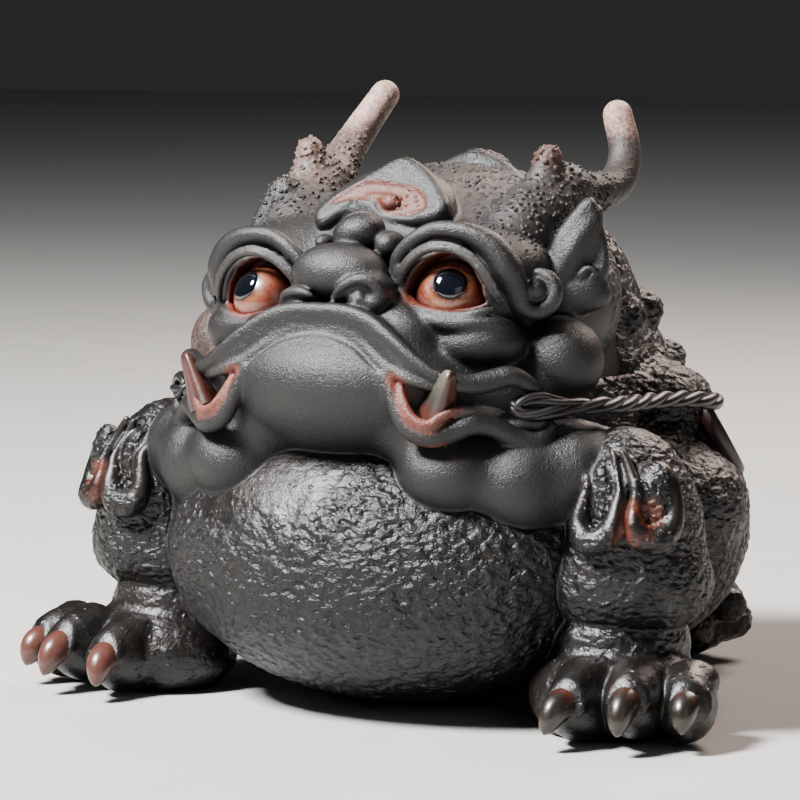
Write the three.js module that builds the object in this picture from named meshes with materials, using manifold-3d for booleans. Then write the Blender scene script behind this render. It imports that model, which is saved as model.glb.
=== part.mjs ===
// Money toad with the horns, ears and forehead cloud of a dragon, modelled by hand in dark clay and
// fired as one piece: body, legs, rope and coins are all the same clay, so the figure is one solid.
// Millimetres, +Z up. The toad faces -Y, its left side is +X, and it stands on Z = 0.

import * as THREE from 'three';
import { mergeVertices } from 'three/addons/utils/BufferGeometryUtils.js';
import Module from 'manifold-3d';

const wasm = await Module();
wasm.setup();

// Driving sizes. The free form is set out in hundredths of the height to the horn tips.
const height = 100;
const unit = height / 100;

const soleLevel = -1.5;
const triangleLimit = 9650;

const ropeDiameter = 3.8;
const ropeLay = 16;
const ropeStrands = 3;
const loopDiameter = 2.6;
const coinDiameter = 17;
const coinThickness = 2.4;
const coinRim = 1.8;
const coinRimHeight = 0.6;
const coinHole = 4.6;
const coinCount = 7;
const coinDrop = 5;
const hipCoinLift = 0.8;
const coinSides = 18;
const lipThickness = 4.4;
const tuskWidth = 6.6;
const clawWidth = 5;
const pupilDiameter = 5.4;
const hornTipDiameter = 4.6;
const hornRootDiameter = 12;
const curlTube = 2.6;

// A place in the carving, from hundredths of the height to millimetres.
function place(x, y, z) {
  return new THREE.Vector3(x, y, z).multiplyScalar(unit);
}

function curveThrough(points, closed = false) {
  return new THREE.CatmullRomCurve3(points.map((p) => place(...p)), closed, 'centripetal');
}

// An egg-shaped lump: radii along its own axes, then tilted about X, Z and Y in degrees.
function lump(centre, radii, { tilt = 0, turn = 0, lean = 0, around = 18, down = 11 } = {}) {
  const geometry = new THREE.SphereGeometry(1, around, down);
  geometry.rotateX(Math.PI / 2);
  geometry.scale(...radii.map((r) => r * unit));
  geometry.rotateX(THREE.MathUtils.degToRad(tilt));
  geometry.rotateY(THREE.MathUtils.degToRad(lean));
  geometry.rotateZ(THREE.MathUtils.degToRad(turn));
  geometry.translate(...place(...centre));
  return geometry;
}

// A roll of clay along a curve. The radius may change along it (0 to 1) and around it (radians).
// Where `outward` is given, angle 0 faces away from that point, so a section can be flattened there.
// `wrung` turns the corners of the section round that many times from end to end.
function roll(curve, radius, { steps = 12, sides = 8, outward = null, wrung = 0 } = {}) {
  const closed = curve.closed;
  const frames = curve.computeFrenetFrames(steps, closed);
  const rings = closed ? steps : steps + 1;
  const positions = [];
  const index = [];
  for (let i = 0; i < rings; i++) {
    const t = i / steps;
    const centre = curve.getPointAt(t);
    const along = frames.tangents[i];
    let first = frames.normals[i];
    if (outward) {
      first = centre.clone().sub(outward);
      first.addScaledVector(along, -first.dot(along)).normalize();
    }
    const second = new THREE.Vector3().crossVectors(along, first);
    for (let j = 0; j < sides; j++) {
      const angle = (j / sides) * 2 * Math.PI;
      const r = radius(t, angle);
      const corner = angle + t * wrung * 2 * Math.PI;
      const point = centre.clone();
      point.addScaledVector(first, Math.cos(corner) * r);
      point.addScaledVector(second, Math.sin(corner) * r);
      positions.push(...point);
    }
  }
  for (let i = 0; i < (closed ? rings : rings - 1); i++) {
    for (let j = 0; j < sides; j++) {
      const a = i * sides + j;
      const b = i * sides + (j + 1) % sides;
      const c = ((i + 1) % rings) * sides + (j + 1) % sides;
      const d = ((i + 1) % rings) * sides + j;
      index.push(a, b, d, b, c, d);
    }
  }
  if (!closed) {
    const last = (rings - 1) * sides;
    const start = positions.length / 3;
    positions.push(...curve.getPointAt(0), ...curve.getPointAt(1));
    for (let j = 0; j < sides; j++) {
      const next = (j + 1) % sides;
      index.push(start, next, j, start + 1, last + j, last + next);
    }
  }
  const geometry = new THREE.BufferGeometry();
  geometry.setAttribute('position', new THREE.Float32BufferAttribute(positions, 3));
  geometry.setIndex(index);
  return geometry;
}

// The same form on the toad's other side.
function mirrored(geometry) {
  const copy = geometry.clone();
  copy.scale(-1, 1, 1);
  const order = copy.index.array;
  for (let i = 0; i < order.length; i += 3) {
    [order[i], order[i + 1]] = [order[i + 1], order[i]];
  }
  return copy;
}

function bothSides(forms) {
  return forms.flatMap((form) => [form, mirrored(form)]);
}

// A radius that stays full along the roll and rounds off at both ends.
function rounded(full, share = 0.12) {
  return (t) => {
    const near = Math.min(t, 1 - t) / share;
    return full * unit * (near >= 1 ? 1 : Math.sqrt(Math.max(0.06, 1 - (1 - near) ** 2)));
  };
}

// A radius that runs from one size to another, with a rounded or pointed tip.
function tapered(from, to, power = 1) {
  return (t) => unit * (from + (to - from) * t ** power);
}

// A spiral of clay in the plane of `across` and `up`, wound inwards from its outer end.
function volute(centre, across, up, outer, turns, tube) {
  const points = [];
  const count = Math.round(9 * turns);
  for (let i = 0; i <= count; i++) {
    const share = i / count;
    const angle = share * turns * 2 * Math.PI;
    const r = outer * (1 - 0.72 * share);
    const reach = [0, 1, 2].map((k) => across[k] * Math.cos(angle) * r + up[k] * Math.sin(angle) * r);
    points.push(centre.map((c, k) => c + reach[k]));
  }
  return roll(curveThrough(points), rounded(tube / 2, 0.15), { steps: Math.round(count * 1.5), sides: 6 });
}

// Belly, barrel of the body, nape, rump, haunches and shoulders.
const barrel = { centre: [0, 42, 38], radii: [34, 41, 38] };

function torso() {
  const fine = { around: 30, down: 18 };
  return [
    lump([0, 14, 24], [40.4, 32.5, 24.8], fine),
    lump(barrel.centre, barrel.radii, fine),
    lump([0, 40, 64], [29.5, 26, 20], fine),
    lump([0, 60, 22], [33, 24, 25], fine),
    ...bothSides([
      lump([26, 46, 27], [21, 21, 22], { around: 24, down: 14 }),
      lump([35, 15, 36], [15, 13, 10], { lean: 15 }),
      lump([34.5, 49, 50], [6.5, 8, 6]),
    ]),
  ];
}

// Warts in staggered rows over the back. Angles in degrees: `lift` above the middle of the barrel,
// `first` round it from the spine.
function warts() {
  const step = 24;
  const rows = [
    { lift: 56, first: 22, count: 2, size: 3.6 },
    { lift: 38, first: 14, count: 4, size: 3.3 },
    { lift: 22, first: 26, count: 3, size: 3 },
    { lift: -16, first: 24, count: 2, size: 3.2 },
  ];
  const onBarrel = (lift, round) => {
    const up = THREE.MathUtils.degToRad(lift);
    const aside = THREE.MathUtils.degToRad(round);
    const out = [Math.sin(aside) * Math.cos(up), Math.cos(aside) * Math.cos(up), Math.sin(up)];
    return barrel.centre.map((c, k) => c + barrel.radii[k] * out[k]);
  };
  return rows.flatMap(({ lift, first, count, size }) => Array.from({ length: count }, (_, i) => (
    lump(onBarrel(lift, first + i * step), [size, size, size], { around: 8, down: 6 })
  )));
}

// Broad skull, chin, jowls and the bulges of the cheeks.
function head() {
  return [
    lump([0, 24, 64], [33, 31, 22], { tilt: 18, around: 26, down: 16 }),
    lump([0, 12, 52], [35, 21, 13], { around: 26, down: 14 }),
    lump([0, -1, 51.5], [19, 16.4, 9.5], { tilt: -20, around: 22, down: 14 }),
    ...bothSides([
      lump([17, 11, 71], [12, 10, 7.5], { turn: 20 }),
      lump([19, 0, 42.5], [11, 9.5, 8.2]),
      lump([29.5, 5, 41], [9.5, 10.5, 9.5]),
      lump([31, 14.5, 57], [8, 8.3, 7]),
      lump([22, 5, 59.8], [9, 6.5, 4.6], { lean: 14, turn: 22 }),
      lump([12.5, -4.5, 62.5], [5.6, 5, 3.8], { lean: 20 }),
      lump([27.5, 1, 54], [6, 5.4, 3.2], { lean: 12, turn: 30 }),
    ]),
  ];
}

// Wide down-turned mouth between two rolled lips, and a tusk from each side of the lower jaw.
function mouth() {
  const upper = [
    [0, -8.6, 64.6], [7, -9.3, 63], [13, -10.5, 58.5], [18, -10.6, 52.6],
    [21.5, -8.6, 50], [27, -5, 50.2], [32.5, 0, 52],
  ];
  const lower = [
    [0, -10.4, 59.6], [7, -11.2, 58], [12.5, -12.4, 53], [17, -12.6, 47],
    [21.5, -10.4, 44.2], [27, -6.6, 46], [33, -1, 49.5],
  ];
  const across = (points) => [...points.slice(1).reverse().map(([x, y, z]) => [-x, y, z]), ...points];
  const thick = lipThickness / 2 / unit;
  return [
    roll(curveThrough(across(upper)), rounded(thick, 0.08), { steps: 40, sides: 8 }),
    roll(curveThrough(across(lower)), rounded(thick * 0.8, 0.08), { steps: 40, sides: 8 }),
    ...bothSides([tusk([20.2, -10.6, 48.2], [24.4, -12.4, 57.8])]),
  ];
}

// Three-sided and curved, as if pinched from a ribbon of clay.
function tusk(root, tip) {
  const middle = root.map((r, k) => (r + tip[k]) / 2 + [-1.1, -1.2, 0.4][k]);
  const curve = curveThrough([root, middle, tip]);
  const facets = (t, angle) => (tuskWidth / 2) * (1 - 0.93 * t) * (1 + 0.18 * Math.cos(3 * angle));
  return roll(curve, facets, { steps: 5, sides: 6 });
}

function nose() {
  return [
    lump([0, -1.6, 70.2], [7, 7.8, 5.2], { tilt: -25, around: 18, down: 11 }),
    lump([0, -0.4, 76.2], [5.6, 4.4, 3.5], { tilt: -35, around: 14, down: 9 }),
    ...bothSides([
      lump([6.6, 0.6, 74.4], [2.9, 3, 2.6], { around: 10, down: 7 }),
      volute([6.9, -8, 67.6], [0.94, 0.34, 0.1], [0, -0.35, 0.94], 3, 1.1, 2.5),
    ]),
  ];
}

// Eyeball in a raised rim, the pupil a bead on its front, and the brow rolling up into a curl.
function eye() {
  const rim = [
    [10.6, -3.6, 68.4], [14, -3.4, 72], [19, -1.6, 72.6], [23.4, 1.4, 69.6],
    [25.2, 2.4, 65.2], [21, -0.6, 63.4], [15.4, -3, 64.4],
  ];
  const brow = [
    [8.6, -2.6, 71.4], [11, -2, 75], [16, 0, 77.6],
    [21.5, 3, 76.4], [25.4, 5.4, 72.4], [27.6, 7, 69],
  ];
  const pupil = pupilDiameter / 2 / unit;
  return bothSides([
    lump([17.6, 3.4, 67.8], [6.9, 6.6, 6.6]),
    lump([18.9, -1.9, 68.7], [pupil, 1.5, pupil], { turn: 14, around: 12, down: 8 }),
    roll(curveThrough(rim, true), () => 1.1 * unit, { steps: 22, sides: 6 }),
    roll(curveThrough(brow), rounded(2.5, 0.1), { steps: 16, sides: 8 }),
    volute([29, 7.6, 68], [0.8, 0.5, -0.1], [0, 0, 1], 2.4, 1.1, 1.8),
  ]);
}

// Cloud-shaped plate on the forehead: a raised rim that ends in two inward curls.
function emblem() {
  const rim = [
    [5.5, 3.4, 78.6], [9.6, 5, 78.6], [12, 8.4, 80.3],
    [10.8, 11.4, 83.6], [5.8, 13, 86.2], [0, 14, 87.6],
  ];
  const around = [...rim, ...rim.slice(0, -1).reverse().map(([x, y, z]) => [-x, y, z])];
  return [
    roll(curveThrough(around), rounded(1.5, 0.05), { steps: 34, sides: 7 }),
    lump([0, 9.5, 80.8], [11, 9, 4], { tilt: 38 }),
    ...bothSides([volute([5.2, 3.2, 81], [0, 0.5, 0.8], [-1, 0, 0], 2.5, 1.2, 1.9)]),
  ];
}

function crest() {
  const spine = [[44, 84, 7], [56, 80, 5.5], [67, 71, 5], [76, 59, 4.6]];
  return [
    lump([0, 30, 82], [11, 22, 6]),
    ...spine.map(([y, z, length]) => lump([0, y, z], [4.3, length, 4.4], { around: 12, down: 8 })),
  ];
}

// Half-width of an oval section, thin along angle 0 and wide across it.
function oval(thin, wide, angle) {
  return (thin * wide) / Math.hypot(wide * Math.cos(angle), thin * Math.sin(angle));
}

// Leaf-shaped ear with a curled lobe, behind and outside each horn. The right one sits higher.
function ear(raise, inward) {
  const shifted = (points) => points.map(([x, y, z]) => [x - inward, y, z + raise]);
  const spine = shifted([[28, 13.5, 68.5], [30.6, 17, 73.5], [32.4, 20, 78], [33, 22.2, 82]]);
  const [curlCentre, lobeCentre] = shifted([[32.4, 17.2, 69.4], [32, 18.5, 66]]);
  const leaf = (t, angle) => {
    const wide = 0.6 + 4.8 * Math.sin(Math.PI * (0.15 + 0.85 * t)) ** 0.8;
    return unit * oval(Math.min(wide, 2.2), wide, angle);
  };
  return [
    roll(curveThrough(spine), leaf, { steps: 8, sides: 10, outward: place(7, 60, 75) }),
    volute(curlCentre, [0.8, 0.6, 0], [0, 0, 1], 2.4, 1, 1.8),
    lump(lobeCentre, [3.6, 3.4, 3], { around: 10, down: 7 }),
  ];
}

function ears() {
  return [...ear(0, 0), ...ear(2, 1.8).map(mirrored)];
}

// Each horn is a pitted trunk with a short front tine and a long rear tine; the left one hooks more.
function horns() {
  const root = hornRootDiameter / 2 / unit;
  const tip = hornTipDiameter / 2 / unit;
  const horn = (side, fork, tine, rear) => {
    const trunk = [[side * 19.5, 13, 73], [side * 21.4, 20, 79], fork];
    const front = [[side * 21.6, 22, 80], [side * 22.2, 23.4, 85], tine];
    return [
      roll(curveThrough(trunk), tapered(root, root * 0.66), { steps: 5, sides: 10 }),
      roll(curveThrough(front), tapered(root * 0.66, tip * 0.86), { steps: 4, sides: 9 }),
      lump(tine, [tip * 0.9, tip * 0.9, tip * 1.05], { around: 9, down: 6 }),
      lump(fork, [root * 0.69, root * 0.75, root * 0.69], { around: 12, down: 8 }),
      roll(curveThrough([fork, ...rear]), tapered(root * 0.6, tip, 0.8), { steps: 12, sides: 9 }),
      lump(rear.at(-1), [tip * 1.02, tip * 1.02, tip * 1.2], { around: 9, down: 6 }),
    ];
  };
  const hooked = [[24.4, 38, 82.4], [25.8, 46, 83.8], [25.4, 50, 88.4], [22.8, 50.4, 94.8]];
  const slanting = [[-24, 37, 87], [-24.4, 44, 91.6], [-22.4, 49, 97.6]];
  return [
    ...horn(1, [22.2, 29.5, 82.6], [22.6, 23.8, 88.4], hooked),
    ...horn(-1, [-22.2, 28.6, 83.4], [-22.6, 23.8, 88.8], slanting),
  ];
}

// A stubby nail that leaves the toe and hooks down to its point.
function claw(root, tip) {
  const middle = root.map((r, k) => (r + tip[k]) / 2 + [0, -0.8, 1.5][k]);
  const radius = (t) => (clawWidth / 2) * Math.sqrt(Math.max(0.02, 1 - t ** 1.7));
  return roll(curveThrough([root, middle, tip]), radius, { steps: 6, sides: 8 });
}

// A toe pad with its nail. `aim` is the direction on the ground, in degrees outward from straight ahead.
function toe(centre, aim, tip) {
  const angle = THREE.MathUtils.degToRad(aim);
  const root = [centre[0] + 3 * Math.sin(angle), centre[1] - 3 * Math.cos(angle), centre[2] + 2.2];
  return [lump(centre, [5.2, 8, 6.6], { turn: aim }), claw(root, tip)];
}

// Thick forearm with a double cloud curl on its front, and a foot of three clawed toes.
function frontLeg() {
  const upper = { centre: [44.2, 11.6, 31], radii: [10.8, 12, 16] };
  // Angle round the forearm in degrees from straight ahead, and height.
  const onForearm = (degrees, z) => {
    const angle = THREE.MathUtils.degToRad(degrees);
    const [x, y, middle] = upper.centre;
    const share = Math.sqrt(1 - ((z - middle) / (upper.radii[2] + 3)) ** 2);
    const inward = 0.18 * (z - middle);
    const aside = upper.radii[0] * share * Math.sin(angle);
    return [x - inward + aside, y - upper.radii[1] * share * Math.cos(angle), z];
  };
  const curlPath = [[6, 44.5], [2, 39], [5, 33], [19, 28.4], [37, 31.5], [43, 36.5], [36, 40]];
  const curl = (side) => roll(
    curveThrough(curlPath.map(([angle, z]) => onForearm(27 + side * angle, z))),
    rounded(curlTube / 2 / unit, 0.12),
    { steps: 20, sides: 6 },
  );
  return bothSides([
    lump(upper.centre, upper.radii, { lean: -10 }),
    lump([40.6, 12, 19], [11.4, 11.6, 13]),
    lump([43.5, 8, 4.5], [14.2, 13, 10], { turn: 24 }),
    curl(-1),
    curl(1),
    ...toe([42.8, -3.6, 4.6], 4, [41.8, -14.8, 1.2]),
    ...toe([51.6, -1.8, 5.2], 14, [53.6, -12.8, 2]),
    ...toe([59, 2.6, 4.8], 32, [62.9, -6.8, 2]),
  ]);
}

// The single hind leg of the three-legged toad, swung out to its left behind the haunch.
function hindLeg() {
  const shank = [[2, 76, 8], [13, 79, 7], [24, 76, 6]];
  const toes = [[30.5, 65, 5], [35.5, 70, 9], [33, 79, 5]];
  return [
    lump([0, 72, 14], [18, 15, 18]),
    roll(curveThrough(shank), tapered(8.5, 6.6), { steps: 8, sides: 12 }),
    lump(shank.at(-1), [7, 7, 6.8], { around: 12, down: 8 }),
    ...toes.map((tip) => {
      const middle = [(22 + tip[0]) / 2, (75 + tip[1]) / 2, tip[2] + 1];
      return roll(curveThrough([[22, 75, 6], middle, tip]), rounded(3.8, 0.25), { steps: 6, sides: 9 });
    }),
  ];
}

// Twisted rope from one corner of the mouth, past the cheek, round the back and to the other corner.
const ropeHalf = [
  [31, -3.4, 51.2], [35.5, 1, 50.6], [39.2, 8, 50.2], [40.2, 17, 49.8], [40.2, 27, 49.4], [41.4, 37, 48.8],
  [42.2, 46, 47.6], [38, 54.8, 46.6], [31.2, 64, 45.2], [22.2, 73, 44], [11.6, 79.8, 43.2], [0, 82, 42.8],
];
const ropeRoute = curveThrough([
  ...ropeHalf.map(([x, y, z]) => [-x, y, z]),
  ...ropeHalf.slice(0, -1).reverse(),
]);

function rope() {
  const turns = Math.round(ropeRoute.getLength() / ropeLay);
  const strands = (t, angle) => (ropeDiameter / 2) * (1 + 0.14 * Math.cos(ropeStrands * angle));
  const knot = curveThrough(
    [[31.4, -4.2, 50.4], [30.6, -4.8, 52.4], [33.4, -3.2, 53], [36, 0.6, 51.2], [33.6, -1.6, 49.8]],
    true,
  );
  return [
    roll(ropeRoute, strands, {
      steps: turns * 7,
      sides: ropeStrands * 2,
      outward: place(0, 30, 45),
      wrung: turns,
    }),
    ...bothSides([
      roll(knot, () => loopDiameter / 2, { steps: 12, sides: 6 }),
      lump([33.2, -0.6, 51], [1, 0.8, 0.7].map((share) => share * loopDiameter / unit)),
    ]),
  ];
}

// Round coin with a raised rim and a sunk square hole, its face turned towards `facing`.
function coin(centre, facing) {
  const outer = coinDiameter / 2;
  const inner = outer - coinRim;
  const face = coinThickness;
  const rim = face + coinRimHeight;
  const profile = [[0, 0], [outer, 0], [outer, rim], [inner, rim], [inner, face], [0, face]];
  const disc = new THREE.LatheGeometry(profile.map(([r, z]) => new THREE.Vector2(r, z)), coinSides);
  disc.rotateX(Math.PI / 2);
  const hole = new THREE.BoxGeometry(coinHole, coinHole, coinThickness);
  hole.translate(0, 0, coinThickness);
  const up = new THREE.Vector3(0, 0, 1);
  const turn = new THREE.Quaternion().setFromUnitVectors(up, facing);
  const [body, cut] = [disc, hole].map((geometry) => {
    geometry.applyQuaternion(turn);
    geometry.translate(...centre);
    return solid(geometry);
  });
  return body.subtract(cut);
}

// Coins hang from the rope round the back. Those on the hips lean back on the haunches.
function coins() {
  const hips = 0.245;
  return Array.from({ length: coinCount }, (_, i) => {
    const share = hips + (1 - 2 * hips) * (i / (coinCount - 1));
    const aside = Math.abs(share - 0.5) / (0.5 - hips);
    const along = ropeRoute.getTangentAt(share);
    const facing = new THREE.Vector3(-along.y, along.x, 0.2 + 0.35 * aside).normalize();
    const centre = ropeRoute.getPointAt(share);
    centre.addScaledVector(facing, hipCoinLift * aside - coinThickness);
    centre.z -= coinDrop;
    return coin(centre, facing);
  });
}

// The closed body inside a surface. Corners that coincide are joined first.
function solid(geometry) {
  const bare = geometry.clone();
  bare.deleteAttribute('normal');
  bare.deleteAttribute('uv');
  const merged = mergeVertices(bare, 1e-4);
  return new wasm.Manifold(new wasm.Mesh({
    numProp: 3,
    vertProperties: new Float32Array(merged.attributes.position.array),
    triVerts: new Uint32Array(merged.index.array),
  }));
}

function surface(body) {
  const mesh = body.getMesh();
  const geometry = new THREE.BufferGeometry();
  geometry.setAttribute('position', new THREE.BufferAttribute(mesh.vertProperties, 3));
  geometry.setIndex(new THREE.BufferAttribute(mesh.triVerts, 1));
  return geometry;
}

// Squared distance of a point from the planes gathered in a quadric of ten numbers.
function planeError(q, { x, y, z }) {
  return q[0] * x * x + q[4] * y * y + q[7] * z * z + q[9]
    + 2 * (q[1] * x * y + q[2] * x * z + q[5] * y * z + q[3] * x + q[6] * y + q[8] * z);
}

// Where two forms cross, slivers are left. The edges that shape the figure least are closed, in
// rounds of growing tolerance, until `limit` triangles are left. The body stays closed throughout,
// and a loose crumb that has shrunk to four faces is dropped.
function thinned(body, limit) {
  const source = surface(body);
  const position = source.attributes.position;
  const corners = source.index.array;
  const points = Array.from({ length: position.count }, (_, i) => (
    new THREE.Vector3().fromBufferAttribute(position, i)
  ));
  const faces = Array.from({ length: corners.length / 3 }, (_, i) => [...corners.slice(3 * i, 3 * i + 3)]);
  const around = points.map(() => new Set());
  const quadrics = points.map(() => new Array(10).fill(0));
  const normalOf = (a, b, c) => b.clone().sub(a).cross(c.clone().sub(a));
  faces.forEach((face, id) => {
    const [a, b, c] = face.map((corner) => points[corner]);
    const normal = normalOf(a, b, c).normalize();
    const plane = [normal.x, normal.y, normal.z, -normal.dot(a)];
    for (const corner of face) {
      around[corner].add(id);
      let k = 0;
      for (let i = 0; i < 4; i++) {
        for (let j = i; j < 4; j++) {
          quadrics[corner][k] += plane[i] * plane[j];
          k += 1;
        }
      }
    }
  });
  let left = faces.length;
  const neighbours = (v) => new Set([...around[v]].flatMap((id) => faces[id]).filter((other) => other !== v));
  const turnsOver = (moved, other, target) => [...around[moved]].some((id) => {
    if (faces[id].includes(other)) return false;
    const before = normalOf(...faces[id].map((corner) => points[corner]));
    const after = normalOf(...faces[id].map((corner) => (corner === moved ? target : points[corner])));
    return after.dot(before) < 0.25 * after.length() * before.length() || after.length() < 1e-3 * unit ** 2;
  });
  const close = (keep, gone, tolerance) => {
    const sum = quadrics[keep].map((value, k) => value + quadrics[gone][k]);
    const options = [points[keep], points[gone], points[keep].clone().lerp(points[gone], 0.5)];
    const errors = options.map((option) => planeError(sum, option));
    const least = Math.min(...errors);
    const span = points[keep].distanceToSquared(points[gone]);
    if (least + 1e-3 * span > tolerance * unit ** 2) return;
    const crumb = new Set([...around[keep], ...around[gone]]);
    if (crumb.size === 4) {
      crumb.forEach((id) => faces[id].forEach((corner) => around[corner].delete(id)));
      crumb.forEach((id) => { faces[id] = null; });
      left -= crumb.size;
      return;
    }
    const target = options[errors.indexOf(least)].clone();
    const mine = neighbours(keep);
    const shared = [...neighbours(gone)].filter((other) => mine.has(other));
    if (shared.length !== 2 || turnsOver(keep, gone, target) || turnsOver(gone, keep, target)) return;
    points[keep] = target;
    quadrics[keep] = sum;
    for (const id of around[gone]) {
      if (faces[id].includes(keep)) {
        faces[id].forEach((corner) => corner !== gone && around[corner].delete(id));
        faces[id] = null;
        left -= 1;
      } else {
        faces[id][faces[id].indexOf(gone)] = keep;
        around[keep].add(id);
      }
    }
    around[gone].clear();
  };
  for (let tolerance = 1e-4; left > limit; tolerance *= 1.5) {
    for (let id = 0; id < faces.length && left > limit; id++) {
      for (let k = 0; k < 3 && faces[id]; k++) {
        close(faces[id][k], faces[id][(k + 1) % 3], tolerance);
      }
    }
  }
  const geometry = new THREE.BufferGeometry();
  geometry.setAttribute('position', new THREE.Float32BufferAttribute(points.flatMap((v) => [...v]), 3));
  geometry.setIndex(faces.filter(Boolean).flat());
  return solid(geometry);
}

const added = [
  ...torso(), ...bothSides(warts()), ...crest(), ...head(), ...mouth(), ...nose(), ...eye(),
  ...emblem(), ...ears(), ...horns(), ...frontLeg(), ...hindLeg(), ...rope(),
].map(solid);
let figure = thinned([...added, ...coins()].reduce((whole, form) => whole.add(form)), triangleLimit);

// The soles and the rump are cut flat where the clay stood on its shelf.
const shelf = new THREE.BoxGeometry(3 * height, 3 * height, height);
shelf.translate(0, 0, soleLevel * unit - height / 2);
figure = figure.subtract(solid(shelf));

const geometry = surface(figure);
geometry.computeBoundingBox();
const middle = geometry.boundingBox.getCenter(new THREE.Vector3());
geometry.translate(-middle.x, -middle.y, -geometry.boundingBox.min.z);
geometry.computeVertexNormals();

// Smoke-fired clay: near black with a satin sheen.
const clay = new THREE.MeshStandardMaterial({ color: 0x2b2827, roughness: 0.5, metalness: 0 });
const toad = new THREE.Mesh(geometry, clay);
toad.name = 'money_toad';

const group = new THREE.Group();
group.add(toad);
export default group;
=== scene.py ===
# Money toad figure: a horned, broad-mouthed toad modelled by hand in dark clay, smoke-fired, with rubbed
# terracotta hollows, glazed eyes and a leathery belly. The forms are laid up as lumps and rolls of clay
# that are pressed into each other, and the skin is then tooled all over.
import math

import bmesh
import bpy
import numpy as np
from mathutils import Euler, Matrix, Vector


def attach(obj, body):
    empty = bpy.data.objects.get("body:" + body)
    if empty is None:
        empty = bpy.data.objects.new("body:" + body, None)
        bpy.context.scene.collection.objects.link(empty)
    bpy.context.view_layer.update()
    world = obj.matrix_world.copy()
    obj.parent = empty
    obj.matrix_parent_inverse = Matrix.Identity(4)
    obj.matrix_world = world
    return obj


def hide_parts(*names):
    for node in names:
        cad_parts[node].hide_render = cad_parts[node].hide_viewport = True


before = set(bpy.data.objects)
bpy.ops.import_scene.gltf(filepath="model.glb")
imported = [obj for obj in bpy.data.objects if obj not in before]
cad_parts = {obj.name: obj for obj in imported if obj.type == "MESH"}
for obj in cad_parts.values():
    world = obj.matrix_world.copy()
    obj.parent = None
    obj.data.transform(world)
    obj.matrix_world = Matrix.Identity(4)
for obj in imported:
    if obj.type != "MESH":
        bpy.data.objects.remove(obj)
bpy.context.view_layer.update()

MM = 0.001
PER_METRE = 1000.0

# The figure is set out in millimetres from a point between its front feet; this is that point's place
# in the frame, whose own origin is on the table under the middle of the figure.
SETTING_OUT = np.array([0.0, -34.273, 1.5])
SOLE = -1.5
FAR = 6.0  # distances are worked out this far from the clay


CAMERA_LENS = 171
CAMERA_SENSOR = 36
CAMERA_PLACE = (0.30575, -0.56237, 0.11815)
CAMERA_AZIMUTH = 29.4
CAMERA_ELEVATION = 6.24


def make_camera():
    """Camera at the photograph's angle."""
    data = bpy.data.cameras.new("camera")
    data.lens = CAMERA_LENS
    data.sensor_width = CAMERA_SENSOR
    data.clip_start = 0.01
    camera = bpy.data.objects.new("camera", data)
    bpy.context.collection.objects.link(camera)
    camera.location = CAMERA_PLACE
    camera.rotation_euler = (math.radians(90 - CAMERA_ELEVATION), 0, math.radians(CAMERA_AZIMUTH))
    bpy.context.scene.camera = camera


# Curves


def spline(points, count, closed=False):
    """Points along a smooth curve through a few given ones, evenly spaced."""
    given = np.array(points, float)
    if closed:
        ring = np.vstack([given[-1], given, given[0], given[1]])
    else:
        ring = np.vstack([2 * given[0] - given[1], given, 2 * given[-1] - given[-2]])
    fine = []
    for a, b, c, d in zip(ring, ring[1:], ring[2:], ring[3:]):
        gaps = [max(np.linalg.norm(q - p), 1e-6) ** 0.5 for p, q in ((a, b), (b, c), (c, d))]
        knots = np.cumsum([0] + gaps)
        t = np.linspace(knots[1], knots[2], 24, endpoint=False)[:, None]
        lerp = lambda p, q, i, j: ((knots[j] - t) * p + (t - knots[i]) * q) / (knots[j] - knots[i])
        low = lerp(a, b, 0, 1)
        middle = lerp(b, c, 1, 2)
        high = lerp(c, d, 2, 3)
        first = lerp(low, middle, 0, 2)
        second = lerp(middle, high, 1, 3)
        fine.append(lerp(first, second, 1, 2))
    fine = np.vstack(fine + [given[:1] if closed else given[-1:]])
    reach = np.concatenate([[0], np.cumsum(np.linalg.norm(np.diff(fine, axis=0), axis=1))])
    wanted = np.linspace(0, reach[-1], count)
    return np.stack([np.interp(wanted, reach, fine[:, k]) for k in range(3)], axis=1)


def mirror(points):
    return np.array(points, float) * (-1, 1, 1)


def rounded(full, count, share=0.12, thin=0.25):
    """Radii that stay full along a roll and round off at both ends."""
    t = np.linspace(0, 1, count)
    near = np.clip(np.minimum(t, 1 - t) / share, 0, 1)
    return full * np.sqrt(np.maximum(thin * thin, 1 - (1 - near) ** 2))


# Forms of clay. Each is a list of simple pieces with the box it fills and its distance, in mm


class Lump:
    """An egg of clay: its radii along its own axes, then tilted about X, leaned about Y, turned about Z."""

    def __init__(self, centre, radii, tilt=0, lean=0, turn=0):
        self.centre = np.array(centre, float)
        self.radii = np.array(radii, float)
        angles = [math.radians(a) for a in (tilt, lean, turn)]
        self.axes = np.array(Euler(angles).to_matrix())
        reach = np.sqrt(((self.axes * self.radii) ** 2).sum(axis=1))
        self.parts = [(self.centre - reach, self.centre + reach, self.distance)]

    def mirrored(self):
        twin = Lump(self.centre * (-1, 1, 1), self.radii)
        flip = np.diag([-1, 1, 1])
        twin.axes = flip @ self.axes @ flip
        reach = np.sqrt(((twin.axes * twin.radii) ** 2).sum(axis=1))
        twin.parts = [(twin.centre - reach, twin.centre + reach, twin.distance)]
        return twin

    def distance(self, x, y, z):
        px, py, pz = x - self.centre[0], y - self.centre[1], z - self.centre[2]
        near = 0
        steep = 0
        for k in range(3):
            q = (self.axes[0, k] * px + self.axes[1, k] * py + self.axes[2, k] * pz) / self.radii[k]
            near = near + q * q
            steep = steep + (q / self.radii[k]) ** 2
        near = np.sqrt(np.maximum(near, 1e-6))
        return near * (near - 1) / np.sqrt(np.maximum(steep, 1e-8))


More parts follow.
